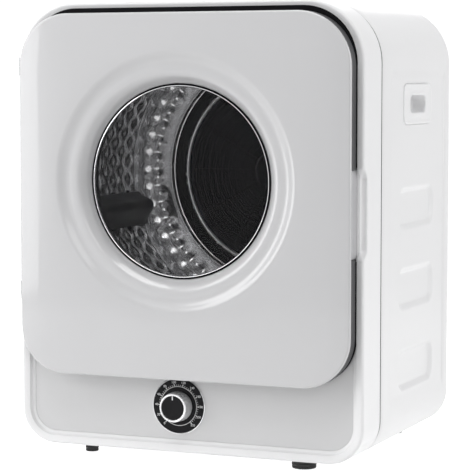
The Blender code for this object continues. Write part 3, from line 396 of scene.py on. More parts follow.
def add_studio():
    builder = bmesh.new()
    bmesh.ops.create_circle(builder, cap_ends=True, segments=64, radius=2.0)
    floor = from_bmesh("floor", builder)
    floor.location.z = -0.0005
    paint = finish("floor_paint", (0.90, 0.90, 0.90), 0.9, vary=0.003, vary_scale=2)
    shader = paint.node_tree.nodes["Principled BSDF"]
    shader.inputs["Emission Color"].default_value = (1, 1, 1, 1)
    by_sight(paint.node_tree, shader.inputs["Emission Strength"], 0.13, 0.90)
    floor.data.materials.append(paint)
    world = bpy.data.worlds.new("studio")
    bpy.context.scene.world = world
    world.use_nodes = True
    sky = world.node_tree.nodes["Background"]
    sky.inputs["Color"].default_value = (0.99, 0.99, 1, 1)
    by_sight(world.node_tree, sky.inputs["Strength"], 0.20, 1.1)
    middle = (0, 0, 0.32)
    add_light("key", (-1.69, -1.42, 1.0), (-0.2, -0.195, 0.8), 1.2, 2.0, 24)
    add_light("front", (1.0, -2.4, 1.5), middle, 1.0, 1.0, 6)
    add_light("side", (2.3, 0.35, 1.0), middle, 1.5, 1.6, 22)
    add_light("top", (-0.1, -0.95, 2.4), middle, 1.6, 1.4, 28)
    add_light("back", (-0.9, 2.5, 1.4), middle, 1.4, 1.4, 8)
    add_light("far_side", (-2.4, 0.7, 1.1), middle, 1.4, 1.4, 5)
    bpy.context.scene.view_settings.view_transform = "Standard"


# Front frame and panel ---------------------------------------------------------------------

def fillet(centre, radius, start, end, steps):
    """Points of an arc in (inset, y), from one angle to another in degrees."""
    return [(centre[0] + radius * cos(radians(a)), centre[1] + radius * sin(radians(a)))
            for a in spread(start, end, steps)]


def scoop_share(x, z):
    """How far the finger recess has opened at a height on the right side: 0 none, 1 full."""
    if x < 0:
        return 0.0
    inside = PULL_HALF + 0.0025 - abs(z - PULL_Z)
    return ease(min(max(inside / 0.0125, 0.0), 1.0)) * 0.35 + min(max(inside / 0.0125, 0.0), 1.0) * 0.65


def build_front_frame():
    slope = 12.0
    crest = 0.0034
    side = offset([(0.0014, -0.0008), (0.0006, -0.0012), (0.0002, -0.0018), (0, -0.0026)], 0, SEAM_Y)
    side += [(0, y) for y in spread(SEAM_Y - 0.004, RIM_Y + 0.030, 5)]
    run = [(0, y) for y in spread(RIM_Y + 0.022, RIM_Y + 0.0060, 5)]
    run += fillet((crest, RIM_Y + crest), crest, 180, 270 + slope * 0.9, 9)
    run += [(RIM_W * t, RIM_Y + d) for t, d in ((0.45, 0.0008), (0.60, 0.0013), (0.73, 0.0020))]
    run += offset([(-0.0024, -0.00155), (-0.0012, -0.0010), (-0.0002, -0.0007), (0.0012, -0.0005),
                   (0.0018, -0.0001)], RIM_W, PANEL_Y)
    depth = PULL_DEPTH_Y - RIM_Y
    scoop = offset([(0, 0.010), (0, 0.005), (0, 0.0022), (0.0001, 0.0013), (0.0004, 0.0006),
                    (0.0010, 0.0001), (0.0018, -0.0001)], 0, RIM_Y + depth)
    scoop += curve_through([(0.0018, PULL_DEPTH_Y - 0.0001), (0.0050, PULL_DEPTH_Y + 0.0002),
                            (0.0072, PULL_DEPTH_Y - 0.0012), (0.0082, PULL_DEPTH_Y - 0.0038),
                            (0.0086, PANEL_Y - 0.0004)], 3)[1:]
    ends = [(0.0120, PANEL_Y - 0.0003), (RIM_W + 0.0018, PANEL_Y - 0.0001)]
    scoop += ends
    while len(scoop) < len(run):
        scoop.insert(1, tuple((a + b) / 2 for a, b in zip(scoop[0], scoop[1])))
    if len(scoop) > len(run):
        gap = len(scoop) - len(run)
        run = [(0, RIM_Y + 0.0225 + 0.001 * (gap - i)) for i in range(gap)] + run
    rows = [body_ring(inset, y) for inset, y in side]
    for (inset, y), (deep, back) in zip(run, scoop):
        row = body_ring(inset, y)
        for point in row:
            share = scoop_share(point.x - HALF_W + 0.03, point.z)
            if share > 0:
                point.x += (HALF_W - deep - point.x) * share
                point.y += (back - y) * share
        rows.append(row)
    inner = RIM_W + 0.0018
    rows += [body_ring(inner, PANEL_Y + 0.0032),
             body_ring(inner + 0.0055, PANEL_Y + 0.0033),
             body_ring(inner + 0.0055, PANEL_Y + 0.0063),
             body_ring(0.0050, PANEL_Y + 0.0150),
             body_ring(0.0060, SEAM_Y + 0.010),
             body_ring(0.0036, SEAM_Y + 0.010),
             body_ring(0.0036, SEAM_Y - 0.0002)]
    piece = skin("front_frame_moulding", rows, closed=True, sharp=50)
    seat(piece, "cabinet", "white_plastic", ("front_frame", "pull_recess"))
    for node in ("hinge_arm_upper", "hinge_arm_lower"):
        low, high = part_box(node)
        slot = rounded_block("hinge_slot", (low.x - 0.0004, RIM_Y - 0.004, low.z - 0.001),
                             (high.x + 0.0004, PANEL_Y + 0.0029, high.z + 0.001), 0.0005, 1)
        carve(piece, slot)
    smooth(piece.data, 50)


def build_front_panel():
    inset = RIM_W + 0.0019
    rows = [body_ring(inset, PANEL_Y + 0.0029),
            body_ring(inset, PANEL_Y + 0.0004),
            body_ring(inset + 0.0004, PANEL_Y)]
    base = body_ring(inset + 0.012, PANEL_Y)
    rows += [body_ring(inset + 0.005, PANEL_Y + 0.0001), base]
    ring = facing(base, PANEL_HOLE_R + 0.030, PANEL_Y)
    rows.append([a.lerp(b, 0.5) for a, b in zip(base, ring)])
    rows.append(ring)
    rows += [facing(base, PANEL_HOLE_R + grow, PANEL_Y + deep)
             for grow, deep in ((0.004, 0), (0.0006, 0), (0, 0.0006), (0, 0.0029))]
    piece = skin("front_panel_moulding", rows, closed=True, sharp=40)
    hook_low, hook_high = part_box("latch_hook")
    carve(piece, rounded_block("latch_hole", (hook_low.x - 0.0015, PANEL_Y - 0.01, hook_low.z - 0.003),
                               (hook_high.x + 0.0015, PANEL_Y + 0.01, hook_high.z + 0.003), 0.001, 2))
    smooth(piece.data, 40)
    seat(piece, "cabinet", "white_plastic", ("front_panel",), PANEL_WHITE)
    # Painted shade: a soft black strip on the rim, behind the door's edge, stands for the shade in the gap
    # round the door
    top = 0.0066
    box = (HALF_W - 0.0108, BASE_Z + 0.103, TOP_Z - top, 0.0734, 0.0600)
    y = RIM_Y + 0.0008
    strip = offset([(0.0, 0.0035), (0.0, 0.0008), (0.0006, 0.0002), (0.0016, 0), (0.0100, 0.0001),
                    (0.0105, 0.0012), (0.0105, 0.0048)], 0, y)
    piece = skin("door_gap_painted_shade", [outline(box, i, d, DOOR_LEVELS) for i, d in strip], closed=True)
    carve(piece, rounded_block("strip_break", (HALF_W - 0.04, RIM_Y - 0.01, PULL_Z - PULL_HALF - 0.003),
                               (HALF_W + 0.01, PANEL_Y + 0.02, PULL_Z + PULL_HALF + 0.003), 0.0005, 1))
    seat(piece, "cabinet", "seal_rubber")


# Door --------------------------------------------------------------------------------------

def rolled(point):
    """Lets the door's face fall away softly towards its left and right edges."""
    over = max(abs(point.x) - (DOOR_HALF - ROLL_W), 0.0) / ROLL_W
    point.y += ROLL_D * over * over
    return point


def build_door_cover():
    edge = 0.0026
    wall_y = DOOR_Y + 0.0042
    rows = [[rolled(p) for p in door_ring(0, wall_y)]]
    for step in range(8):
        a = radians(90 * step / 7)
        rows.append([rolled(p) for p in door_ring(edge * (1 - cos(a)),
                                               DOOR_Y + edge * (1 - sin(a)))])
    for inset in (0.0045, 0.008, 0.012, 0.016, 0.020, 0.025, 0.030):
        rows.append([rolled(p) for p in door_ring(inset, DOOR_Y)])
    base = rows[-1]
    dish = curve_through([
        (0.1715, 0.0), (0.1688, 0.0004), (0.1655, 0.0018), (0.1615, 0.0042), (0.1575, 0.0060),
        (0.1530, 0.0066), (0.1480, 0.0065), (0.1430, 0.0070), (0.1390, 0.0090), (0.1355, 0.0125),
        (0.1325, 0.0165), (0.1302, 0.0205), (0.1288, 0.0232)], 4)
    first = facing(base, dish[0][0], DOOR_Y)
    for share in (0.35, 0.7):
        rows.append([rolled(Vector((p.x, DOOR_Y, p.z)))
                     for p in (a.lerp(b, share) for a, b in zip(base, first))])
    rows += [facing(base, r, DOOR_Y + d) for r, d in dish]
    rows += [facing(base, r, DOOR_Y + d) for r, d in (
        (0.1284, 0.0240), (0.1280, 0.0250), (0.1284, 0.0256), (0.1300, 0.0258), (0.1330, 0.0240),
        (0.1365, 0.0150), (0.1450, 0.0098), (0.1580, 0.0090), (0.1670, 0.0050), (0.1712, 0.0030))]
    behind = [rolled(p) for p in door_ring(0.0300, DOOR_Y + 0.0026)]
    rows += [behind, [rolled(p) for p in door_ring(0.0026, DOOR_Y + 0.0028)],
             [rolled(p) for p in door_ring(0.0022, wall_y)]]
    piece = skin("door_cover", rows, closed=True, sharp=45)
    seat(piece, "door", "door_white", ("door_shell",))

    # The grey side of the door, from behind the white edge to the black inner door
    front = DOOR_Y + 0.0044
    rows = []
    for inset, y, moves in ((0.0022, EDGE_Y, 0), (0.0004, EDGE_Y, 0), (0.0001, EDGE_Y - 0.0004, 0),
                            (0.0001, DOOR_Y + 0.0095, 0), (0.0001, front + 0.0006, 1),
                            (0.0006, front, 1), (0.0022, front, 1)):
        row = door_ring(inset, y)
        rows.append([rolled(p) for p in row] if moves else row)
    band = skin("door_side_band", rows, closed=True)
    tool = rounded_block("notch", (DOOR_HALF - 0.02, DOOR_Y, PULL_Z - PULL_HALF - 0.0002),
                         (DOOR_HALF + 0.02, EDGE_Y + 0.01, PULL_Z + PULL_HALF + 0.0002), 0.001, 2)
    carve(band, tool)
    seat(band, "door", "grey_plastic")


def build_door_liner():
    wall = 0.0016
    front, back = LINER_LOW.y, LINER_HIGH.y
    box = door_ring(wall + 0.020, back)
    rows = [door_ring(wall + 0.003, front), door_ring(wall, front),
            door_ring(wall, back - 0.0022), door_ring(wall + 0.0007, back - 0.0006),
            door_ring(wall + 0.0022, back), door_ring(wall + 0.013, back),
            door_ring(wall + 0.0145, back - 0.0018), door_ring(wall + 0.0205, back - 0.0020),
            door_ring(wall + 0.0225, back - 0.0004), door_ring(wall + 0.0250, back)]
    profile = [(0.1660, back), (0.1645, back - 0.0010), (0.1630, back - 0.0011), (0.1615, back),
               (0.1520, back), (0.1400, back), (0.1375, back - 0.0003), (0.1360, back - 0.0010),
               (0.1300, back - 0.0024), (0.1278, back - 0.0030), (0.1266, back - 0.0040),
               (0.1264, GLASS_HIGH.y + 0.0004), (0.1330, GLASS_HIGH.y + 0.0004),
               (0.1336, front + 0.002),
               (0.1500, front + 0.001)]
    rows += [facing(box, r, y) for r, y in profile]
    rows.append(door_ring(wall + 0.003, front + 0.0006))
    piece = skin("door_inner_moulding", rows, closed=True)
    for node in ("hinge_leaf_upper", "hinge_leaf_lower"):
        low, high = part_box(node)
        mid = (low.z + high.z) / 2
        carve(piece, rounded_block("pocket", (-DOOR_HALF - 0.01, front - 0.01, mid - 0.021),
                                   (-DOOR_HALF + 0.0028, back + 0.01, mid + 0.016), 0.0006, 1))
        carve(piece, rounded_block("leaf", (low.x - 0.002, front - 0.01, low.z - 0.0008),
                                   (high.x + 0.0006, high.y + 0.0008, high.z + 0.0008), 0.0006, 1))
    carve(piece, rounded_block("notch", (DOOR_HALF - 0.0125, front - 0.01, PULL_Z - PULL_HALF - 0.0002),
                               (DOOR_HALF + 0.02, back + 0.01, PULL_Z + PULL_HALF + 0.0002), 0.0008, 2))
    smooth(piece.data, 35)
    seat(piece, "door", "black_plastic", ("door_liner",))
    for number in range(8):
        angle = radians(22.5 + 45 * number)
        x, z = CENTRE_X + SCREW_CIRCLE_R * cos(angle), CENTRE_Z + SCREW_CIRCLE_R * sin(angle)
        screw = turned(f"door_screw_{number + 1}", offset([(0.0036, 0.0001), (0.0036, 0.0007),
                                                           (0.0028, 0.0014), (0.0013, 0.0017),
                                                           (0.0011, 0.0006)], 0, back),
                                                           x, z, 24, closed=False, caps=(True, True))
        seat(screw, "door", "zinc_steel")


def build_window():
    back = GLASS_HIGH.y
    front = back - 0.0030
    edge = [(GLASS_R, back), (GLASS_R, front + 0.0006), (GLASS_R - 0.0006, front)]
    dome = [(WINDOW_R * k, front - 0.0040 * (1 - k * k)) for k in
            (0.985, 0.96, 0.92, 0.86, 0.78, 0.69, 0.59, 0.48, 0.36, 0.24, 0.12, 0.02)]
    glass = turned("window_glass", edge + dome, closed=False, caps=(True, True), sharp=60)
    seat(glass, "door", "smoked_glass", ("door_window",))
    y = front - 0.0003
    dark = turned("window_gasket", offset([(0.0003, 0), (0.0003, -0.0026), (-0.0002, -0.0032),
                                           (-0.0012, -0.0032), (-0.0018, -0.0026), (-0.0018, 0)],
                                           WINDOW_R, y))
    seat(dark, "door", "seal_rubber")
    r = WINDOW_R - 0.0019
    ring = turned("window_trim_ring", offset([(0, -0.0002), (0, -0.0024), (-0.0003, -0.0030),
                                              (-0.0009, -0.0031), (-0.0013, -0.0026),
                                              (-0.0017, -0.0014), (-0.0018, -0.0002)], r, y))
    seat(ring, "door", "chrome_trim", ("window_trim",))


def build_pull():
    low_z, high_z = PULL_Z - PULL_HALF + 0.0001, PULL_Z + PULL_HALF - 0.0001
    front, back = DOOR_Y + 0.0048, LINER_HIGH.y
    inner = DOOR_HALF - 0.0120
    side = DOOR_HALF - 0.0004
    levels = spread(0, 1, 40)
    rows = []
    for t in levels:
        z = low_z + (high_z - low_z) * t
        near = min(z - low_z, high_z - z)
        end = 1 - ease(near / 0.006)
        row = [(inner, front), (side - 0.0020, front), (side - 0.0011, front + 0.0002)]
        for s in spread(0, 1, 14):
            y = front + 0.0008 + (back - front - 0.0014) * s
            dip = 0.0018 * sin(pi * min(s * 0.92 + 0.02, 1.0)) ** 0.8 * (1 - end)
            row.append((side - 0.0004 - dip - 0.0009 * end, y))
        row += [(side - 0.0010, back - 0.0001), (inner, back)]
        shrink = 0.0010 * (1 - ease(near / 0.0014))
        rows.append([Vector((x - (shrink if x > inner else 0), y, z)) for x, y in row])
    piece = skin("door_pull_grip", rows, caps=(True, True), sharp=60)
    # Painted shade: the white grip gets a grey that stands for the shade in the finger recess
    seat(piece, "door", "white_plastic", ("door_pull",), PULL_PAINTED_SHADE)


def build_gasket():
    low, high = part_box("door_gasket")
    outer = (high.x - low.x) / 2
    y0, y1 = low.y, high.y
    section = [(outer, y0), (outer, y0 + 0.0009), (outer - 0.0012, y0 + 0.0013),
               (outer - 0.0008, y1 - 0.0006), (outer - 0.0015, y1), (outer - 0.0030, y1 - 0.0007),
               (outer - 0.0040, y0 + 0.0016), (outer - 0.0052, y1 - 0.0008), (outer - 0.0062, y1),
               (outer - 0.0070, y1 - 0.0008), (outer - 0.0068, y0 + 0.0012),
               (outer - 0.0080, y0 + 0.0008), (outer - 0.0080, y0)]
    seat(turned("door_lip_seal", section), "door", "seal_rubber", ("door_gasket",))


# Cabinet -----------------------------------------------------------------------------------

def round_distance(dy, dz, half_y, half_z, radius):
    """Signed distance to a rounded rectangle, negative inside."""
    qy, qz = abs(dy) - half_y + radius, abs(dz) - half_z + radius
    return hypot(max(qy, 0), max(qz, 0)) + min(max(qy, qz), 0) - radius


def side_depth(y, z):
    """How far the side wall is pressed in at a place."""
    depth = 0.0
    for centre in PRESS_Z:
        d = round_distance(y - PRESS_Y, z - centre, PRESS_HALF_Y, PRESS_HALF_Z, 0.021)
        depth = max(depth, PRESS_DEPTH * ease((0.001 - d) / 0.0090))
    behind = y - RIM_Y
    ends = ease((z - 0.064) / 0.020) * ease((0.516 - z) / 0.012)
    field = ease((behind - 0.1045) / 0.0046) * ease((0.3432 - behind) / 0.0036)
    depth += CREASE_DEPTH * field * ends
    ridge = exp(-((behind - 0.3445) / 0.0012) ** 2) + exp(-((behind - 0.1035) / 0.0012) ** 2)
    depth += 0.0006 * ridge * ends
    d = round_distance(y - GRIP_Y, z - GRIP_Z, 0.0612, 0.0277, 0.0140)
    depth += 0.0016 * ease(-d / 0.0009)
    return depth


def wrap_levels():
    fine = []
    edges = [(c + s * PRESS_HALF_Z, 0.012) for c in PRESS_Z for s in (-1, 1)]
    edges += [(GRIP_Z + s * 0.0277, 0.004) for s in (-1, 1)]
    for middle, reach in edges:
        fine += spread(middle - reach, middle + reach, int(reach * 2 / 0.0016) + 1)
    fine += spread(BASE_Z + 0.0485, TOP_Z - 0.0805, 84)
    kept = []
    for z in sorted(fine):
        if BASE_Z + 0.0482 < z < TOP_Z - 0.0802 and (not kept or z - kept[-1] > 0.0010):
            kept.append(z)
    return kept


def build_wrap():
    levels = wrap_levels()
    stations = offset([(0.0021, 0.0050), (0.0020, 0.0038), (0.0015, 0.0031)], 0, WRAP_Y)
    fine = []
    for middle, reach, step in ((RIM_Y + 0.1052, 0.006, 0.0009), (RIM_Y + 0.3435, 0.006, 0.0009),
                                (PRESS_Y - PRESS_HALF_Y, 0.013, 0.0016),
                                (PRESS_Y + PRESS_HALF_Y, 0.013, 0.0016),
                                (GRIP_Y - 0.0612, 0.003, 0.0010), (GRIP_Y + 0.0612, 0.003, 0.0010)):
        fine += spread(middle - reach, middle + reach, int(2 * reach / step) + 1)
    fine += spread(WRAP_Y + 0.002, WRAP_Y + 0.013, 9) + spread(WRAP_Y + 0.015, BACK_Y - 0.006, 55)
    kept = [WRAP_Y + 0.0034]
    for y in sorted(fine):
        if kept[-1] + 0.0007 < y < BACK_Y - 0.0048:
            kept.append(y)
    stations += [(0.0014 * max(1 - (y - WRAP_Y - 0.0030) / 0.0105, 0) ** 2, y) for y in kept]
    stations += fillet((0.0042, BACK_Y - 0.0042), 0.0042, 180, 90, 7)
    stations += offset([(0.0060, -0.0002), (0.0068, -0.0011), (0.0072, -0.0026), (0.0080, -0.0030),
                        (0.0168, -0.0030), (0.0170, -0.0032), (0.0170, -0.0045)], 0, BACK_Y)
    rows = []
    for inset, y in stations:
        row = outline(BODY, inset, y, levels, steps=18, across=20)
        if inset < 0.004:
            for point in row:
                if abs(point.x) > HALF_W - inset - 1e-6:
                    point.x -= copysign(side_depth(point.y, point.z), point.x)
        rows.append(row)

    def solid(i, j):
        a, b = rows[i][j], rows[min(i + 1, len(rows) - 1)][(j + 1) % len(rows[0])]
        if abs(a.x) < HALF_W - 0.01:
            return True
        y, z = (a.y + b.y) / 2, (a.z + b.z) / 2
        return round_distance(y - GRIP_Y, z - GRIP_Z, 0.050, 0.019, 0.010) > 0

    piece = skin("cabinet_skin", rows, sharp=40, keep=solid)
    seat(piece, "cabinet", "white_enamel", ("cabinet_wrap",))
    # Dark joint between the front moulding and the skin
    section = [(0.0023, SEAM_Y + 0.0001), (0.0023, WRAP_Y + 0.0052), (0.0026, WRAP_Y + 0.0056),
               (0.0034, WRAP_Y + 0.0056), (0.0034, SEAM_Y + 0.0001)]
    seat(skin("seam_strip", [body_ring(inset, y) for inset, y in section], closed=True),
         "cabinet", "seal_rubber")


def ring_in_side(x, half_y, half_z, radius, steps=8):
    """Rounded rectangle in a plane parallel to a side wall, round the grip's centre."""
    points = []
    radius = max(radius, 0.0008)
    for sy, sz, start in ((1, -1, -90), (1, 1, 0), (-1, 1, 90), (-1, -1, 180)):
        for step in range(steps + 1):
            a = radians(start + 90 * step / steps)
            points.append(Vector((x, GRIP_Y + sy * (half_y - radius) + radius * cos(a),
                                  GRIP_Z + sz * (half_z - radius) + radius * sin(a))))
    return points


def build_grips():
    hy, hz = 0.0605, 0.0270
    sy, sz = 0.0345, 0.0115
    for side, sign in (("right", 1), ("left", -1)):
        profile = [  # distance in from the plate's edge, depth
            (0.0, 0.0036), (0.0, 0.0012), (0.0003, 0.0006), (0.0010, 0.0003), (0.0022, 0.0002),
            (0.0040, 0.0003), (0.0048, 0.0007), (0.0060, 0.0009)]
        rows = [ring_in_side(sign * (HALF_W - d), hy - i, hz - i, 0.013 - i) for i, d in profile]
        # A raised lip round the slot, then the slot's wall and floor
        for grow, d in ((0.0062, 0.0009), (0.0050, 0.0007), (0.0040, 0.0002), (0.0030, 0.00005),
                        (0.0018, 0.0001), (0.0008, 0.0006), (0.0002, 0.0016), (0.0, 0.0034),
                        (-0.0006, 0.0180), (-0.0016, 0.0194), (-0.0034, 0.0200)):
            rows.append(ring_in_side(sign * (HALF_W - d), sy + grow, sz + grow, 0.0108 + grow))
        piece = skin(f"grip_plate_{side}", rows, caps=(False, True), sharp=50)
        seat(piece, "cabinet", "white_plastic", (f"side_grip_{side}",))


def build_rear():
    """Air louvres, stiffening ribs and screws on the rear cover, and the exhaust spigot."""
    slots_x = (-0.120 - 0.0475, -0.120 + 0.0475)
    for row in range(6):
        z = CENTRE_Z - 0.235 + 0.011 * row + 0.0025
        rows = []
        for t in spread(0, 1, 22):
            x = slots_x[0] - 0.003 + (slots_x[1] - slots_x[0] + 0.006) * t
            rise = 0.0030 * ease(min(t, 1 - t) / 0.09)
            rows.append([Vector((x, COVER_BACK_Y + 0.0002 + rise * sin(a) ** 0.8, z + 0.0036 - 0.0066 * c))
                         for a, c in ((0.02, 0.0), (0.5, 0.08), (1.0, 0.2), (1.45, 0.4), (1.571, 0.62))]
                        + [Vector((x, COVER_BACK_Y + 0.0002 + rise * 0.86, z + 0.0036 - 0.0066 * 0.62)),
                           Vector((x, COVER_BACK_Y + 0.0001, z + 0.0030))])
        seat(skin(f"louvre_hood_{row + 1}", rows, caps=(True, True)), "cabinet", "zinc_steel")
    for number, (x0, z0, x1, z1) in enumerate((
            (-0.150, 0.500, 0.150, 0.500), (-0.150, 0.260, 0.150, 0.260),
            (-0.180, 0.300, -0.180, 0.460), (0.180, 0.300, 0.180, 0.460)), 1):
        along = Vector((x1 - x0, 0, z1 - z0)).normalized()
        across = Vector((-along.z, 0, along.x))
        rows = []
        for t in spread(0, 1, 36):
            centre = Vector((x0, COVER_BACK_Y, z0)).lerp(Vector((x1, COVER_BACK_Y, z1)), t)
            end = ease(min(t, 1 - t) / 0.04)
            rows.append([centre + across * 0.0085 * w * (0.35 + 0.65 * end)
                         + Vector((0, 0.0002 + 0.0022 * h * end, 0))
                         for w, h in ((-1, 0), (-0.8, 0.18), (-0.55, 0.7), (-0.25, 0.97), (0, 1),
                                      (0.25, 0.97), (0.55, 0.7), (0.8, 0.18), (1, 0))])
        seat(skin(f"cover_rib_{number}", rows, around=False), "cabinet", "zinc_steel")
    for number in range(1, 5):
        node = f"rear_screw_{number}"
        lo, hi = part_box(node)
        x, z = axis_of(node)
        head = turned(f"cover_screw_{number}", [
            (0.0017, lo.y), (0.0017, hi.y - 0.0024), (0.0038, hi.y - 0.0023), (0.0038, hi.y - 0.0012),
            (0.0031, hi.y - 0.0003), (0.0016, hi.y), (0.0014, hi.y - 0.0013)], x, z, 32,
            closed=False, caps=(True, True))
        carve(head, rounded_block("slot_a", (x - 0.0026, hi.y - 0.0009, z - 0.0004),
                                  (x + 0.0026, hi.y + 0.001, z + 0.0004), 0.0001, 1))
        carve(head, rounded_block("slot_b", (x - 0.0004, hi.y - 0.0009, z - 0.0026),
                                  (x + 0.0004, hi.y + 0.001, z + 0.0026), 0.0001, 1))
        seat(head, "cabinet", "zinc_steel", (node,))
    lo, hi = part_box("exhaust_collar")
    x, z = axis_of("exhaust_collar")
    outer = 0.0485
    bore = 0.0460
    profile = [(bore, lo.y), (outer + 0.006, lo.y), (outer + 0.006, lo.y + 0.003),
               (outer, lo.y + 0.0034)]
    y = lo.y + 0.012
    while y < hi.y - 0.007:
        profile += [(outer, y), (outer - 0.0008, y + 0.0008), (outer - 0.0008, y + 0.0020),
                    (outer, y + 0.0028)]
        y += 0.009
    profile += [(outer, hi.y - 0.0012), (outer - 0.0006, hi.y), (bore + 0.0006, hi.y),
                (bore, hi.y - 0.0010)]
    seat(turned("exhaust_spigot", profile, x, z, 96), "cabinet", "black_plastic", ("exhaust_collar",))


def build_feet():
    for node in ("foot_front_right", "foot_front_left", "foot_rear_right", "foot_rear_left"):
        lo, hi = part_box(node)
        x, y, r = (lo.x + hi.x) / 2, (lo.y + hi.y) / 2, (hi.x - lo.x) / 2
        height = hi.z - lo.z
        rows = []
        for share, level in ((0.80, 0.0), (0.93, 0.02), (0.965, 0.10), (0.97, 0.22), (0.93, 0.27),
                             (0.93, 0.33), (0.985, 0.38), (0.99, 0.55), (0.95, 0.60), (0.95, 0.66),
                             (1.0, 0.71), (1.0, 0.94), (0.985, 1.0)):
            rows.append([Vector((x + r * share * cos(tau * i / 64),
                                 y + r * share * sin(tau * i / 64), lo.z + height * level))
                         for i in range(64)])
        seat(skin(f"{node}_pad", rows, caps=(True, True)), "cabinet", "rubber_black", (node,))


# Drum --------------------------------------------------------------------------------------

def dimple(along, around, pitch, spacing, radius, depth):
    """Depth of a staggered field of round dimples, at a place in metres on the sheet."""
    row = round(along / spacing)
    best = 0.0
    for r in (row - 1, row, row + 1):
        shift = 0.5 * pitch if r % 2 else 0.0
        c = round((around - shift) / pitch) * pitch + shift
        gap = hypot((along - r * spacing), around - c)
        if gap < radius:
            best = max(best, depth * (1 - (gap / radius) ** 2) ** 1.3)
    return best


def build_drum():
    y0, y1 = DRUM_LOW.y, DRUM_HIGH.y
    inner = DRUM_R - 0.0012
    mouth = DRUM_MOUTH_R
    around = 480
    pitch = tau * DRUM_R / DIMPLES_ROUND
    spacing = pitch * 0.86
    seam_a, seam_b = y0 + 0.020 + 2.5 * spacing, y0 + 0.020 + 5.5 * spacing

    def wall_radius(y, angle):
        along = y - y0 - 0.020
        lift = 0.0
        if 0.018 < y - y0 < 0.252:
            lift = -dimple(along, angle * DRUM_R, pitch, spacing, pitch * 0.47, 0.0050)
        rib = sum(0.0020 * exp(-((y - c) / 0.0022) ** 2) for c in (seam_a, seam_b, y1 - 0.006))
        flat = sum(exp(-((y - c) / 0.0052) ** 4) for c in (seam_a, seam_b))
        return inner - lift * (1 - min(flat, 1)) - rib

    stations = [(mouth + 0.0008, y0 + 0.0030), (mouth, y0 + 0.0016), (mouth + 0.0006, y0 + 0.0003),
                (mouth + 0.0022, y0), (inner - 0.014, y0)]
    rows = [circle(r, y, steps=around) for r, y in stations]
    for a in spread(0, 90, 7)[1:]:
        a = radians(a)
        rows.append(circle(inner - 0.012 + 0.012 * sin(a), y0 + 0.012 - 0.012 * cos(a), steps=around))
    for y in spread(y0 + 0.014, y1 - 0.0004, 84):
        rows.append([Vector((CENTRE_X + wall_radius(y, tau * i / around) * cos(tau * i / around), y,
                             CENTRE_Z + wall_radius(y, tau * i / around) * sin(tau * i / around)))
                     for i in range(around)])
    seat(skin("drum_wall", rows, sharp=70), "drum", "stainless_drum", ("drum_shell",))

    # Pressed back: rounded corner, a field of round dimples, a double ring and a flat middle
    corner = 0.035
    y1 = DRUM_BACK_HIGH.y - 0.0012
    start = y1 - corner
    line = [(inner - corner + corner * cos(a), start + corner * sin(a))
            for a in (radians(d) for d in spread(0, 90, 16))]
    line += [(r, y1) for r in (0.1735, 0.1722)]
    line += curve_through(offset([(0.1712, 0), (0.1700, -0.0018), (0.1690, -0.0046),
                                  (0.1678, -0.0050), (0.1668, -0.0030), (0.1658, -0.0052),
                                  (0.1646, -0.0050), (0.1632, -0.0018), (0.1620, 0)], 0, y1), 3)
    line += [(r, y1) for r in (0.1590, 0.1560, 0.1500, 0.1450)]
    line += curve_through(offset([(0.1425, 0), (0.1412, -0.0022), (0.1400, -0.0028),
                                  (0.1388, -0.0022), (0.1375, 0)], 0, y1), 3)
    line += [(r, y1) for r in (0.120, 0.080, 0.030, 0.012)]
    rows = []
    travelled = 0.0
    for k, (r, y) in enumerate(line):
        if k:
            travelled += hypot(r - line[k - 1][0], y - line[k - 1][1])
        before, after = line[max(k - 1, 0)], line[min(k + 1, len(line) - 1)]
        run = hypot(after[0] - before[0], after[1] - before[1]) or 1
        normal = (-(after[1] - before[1]) / run, (after[0] - before[0]) / run)
        row = []
        for i in range(around):
            angle = tau * i / around
            rise = 0.0
            if 0.003 < travelled < 0.060 and r > 0.1745:
                rise = -dimple(travelled - 0.018, angle * 0.195, tau * 0.195 / DIMPLES_ROUND, spacing,
                               0.0115, 0.0042)
            rr, yy = r + normal[0] * rise, y + normal[1] * rise
            row.append(Vector((CENTRE_X + rr * cos(angle), yy, CENTRE_Z + rr * sin(angle))))
        rows.append(row)
    seat(skin("drum_end", rows, sharp=70), "drum", "stainless_drum", ("drum_back",))


def build_surround():
    """Dark flat ring between the filter and the drum back's double bead."""
    face = DRUM_BACK_HIGH.y - 0.0012
    section = offset([(0.1432, -0.0004), (0.1436, -0.0018), (0.1446, -0.0022), (0.1500, -0.0022),
                      (0.1508, -0.0027), (0.1516, -0.0022), (0.1592, -0.0022), (0.1602, -0.0018),
                      (0.1606, -0.0004)], 0, face)
    seat(turned("filter_surround", section, steps=160), "drum", "black_plastic")


def build_lifters():
    for number in range(3):
        node = f"drum_lifter_{number + 1}"
        angle = radians(FIRST_LIFTER + 120.0 * number)
        out, side = directions(angle)
        centre = Vector((CENTRE_X, 0, CENTRE_Z))
        lo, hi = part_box(node)
        y0, y1 = lo.y + 0.0004, hi.y - 0.0004
        base, half = DRUM_R - 0.0052, 0.0255
        rows = []
        for t in spread(0, 1, 40):
            y = y0 + (y1 - y0) * t
            end = min(y - y0, y1 - y)
            rise = 0.22 + 0.78 * ease(end / 0.034)
            wave = 1 + 0.05 * cos(tau * (t - 0.5) * 2)
            row = []
            for w in spread(-1, 1, 9):
                spot = w * half * 0.98
                row.append(centre + out * (sqrt(base ** 2 - spot ** 2) - 0.0002) + side * spot
                           + Vector((0, y, 0)))
            for w in spread(1, -1, 27)[1:-1]:
                height = (1 - abs(w) ** 2.6) ** 0.9 * (0.88 + 0.12 * cos(w * pi))
                groove = 0.0012 * exp(-((abs(w) - 0.42) / 0.05) ** 2)
                level = base - 0.0022 - (0.0335 * min(height * rise * wave, 1.0) - groove * rise)
                row.append(centre + out * level + side * w * half * (0.97 - 0.10 * height)
                           + Vector((0, y, 0)))
            rows.append(row)
        seat(skin(f"lifter_{number + 1}", rows, caps=(True, True), sharp=60), "drum", "grey_plastic",
             (node,))


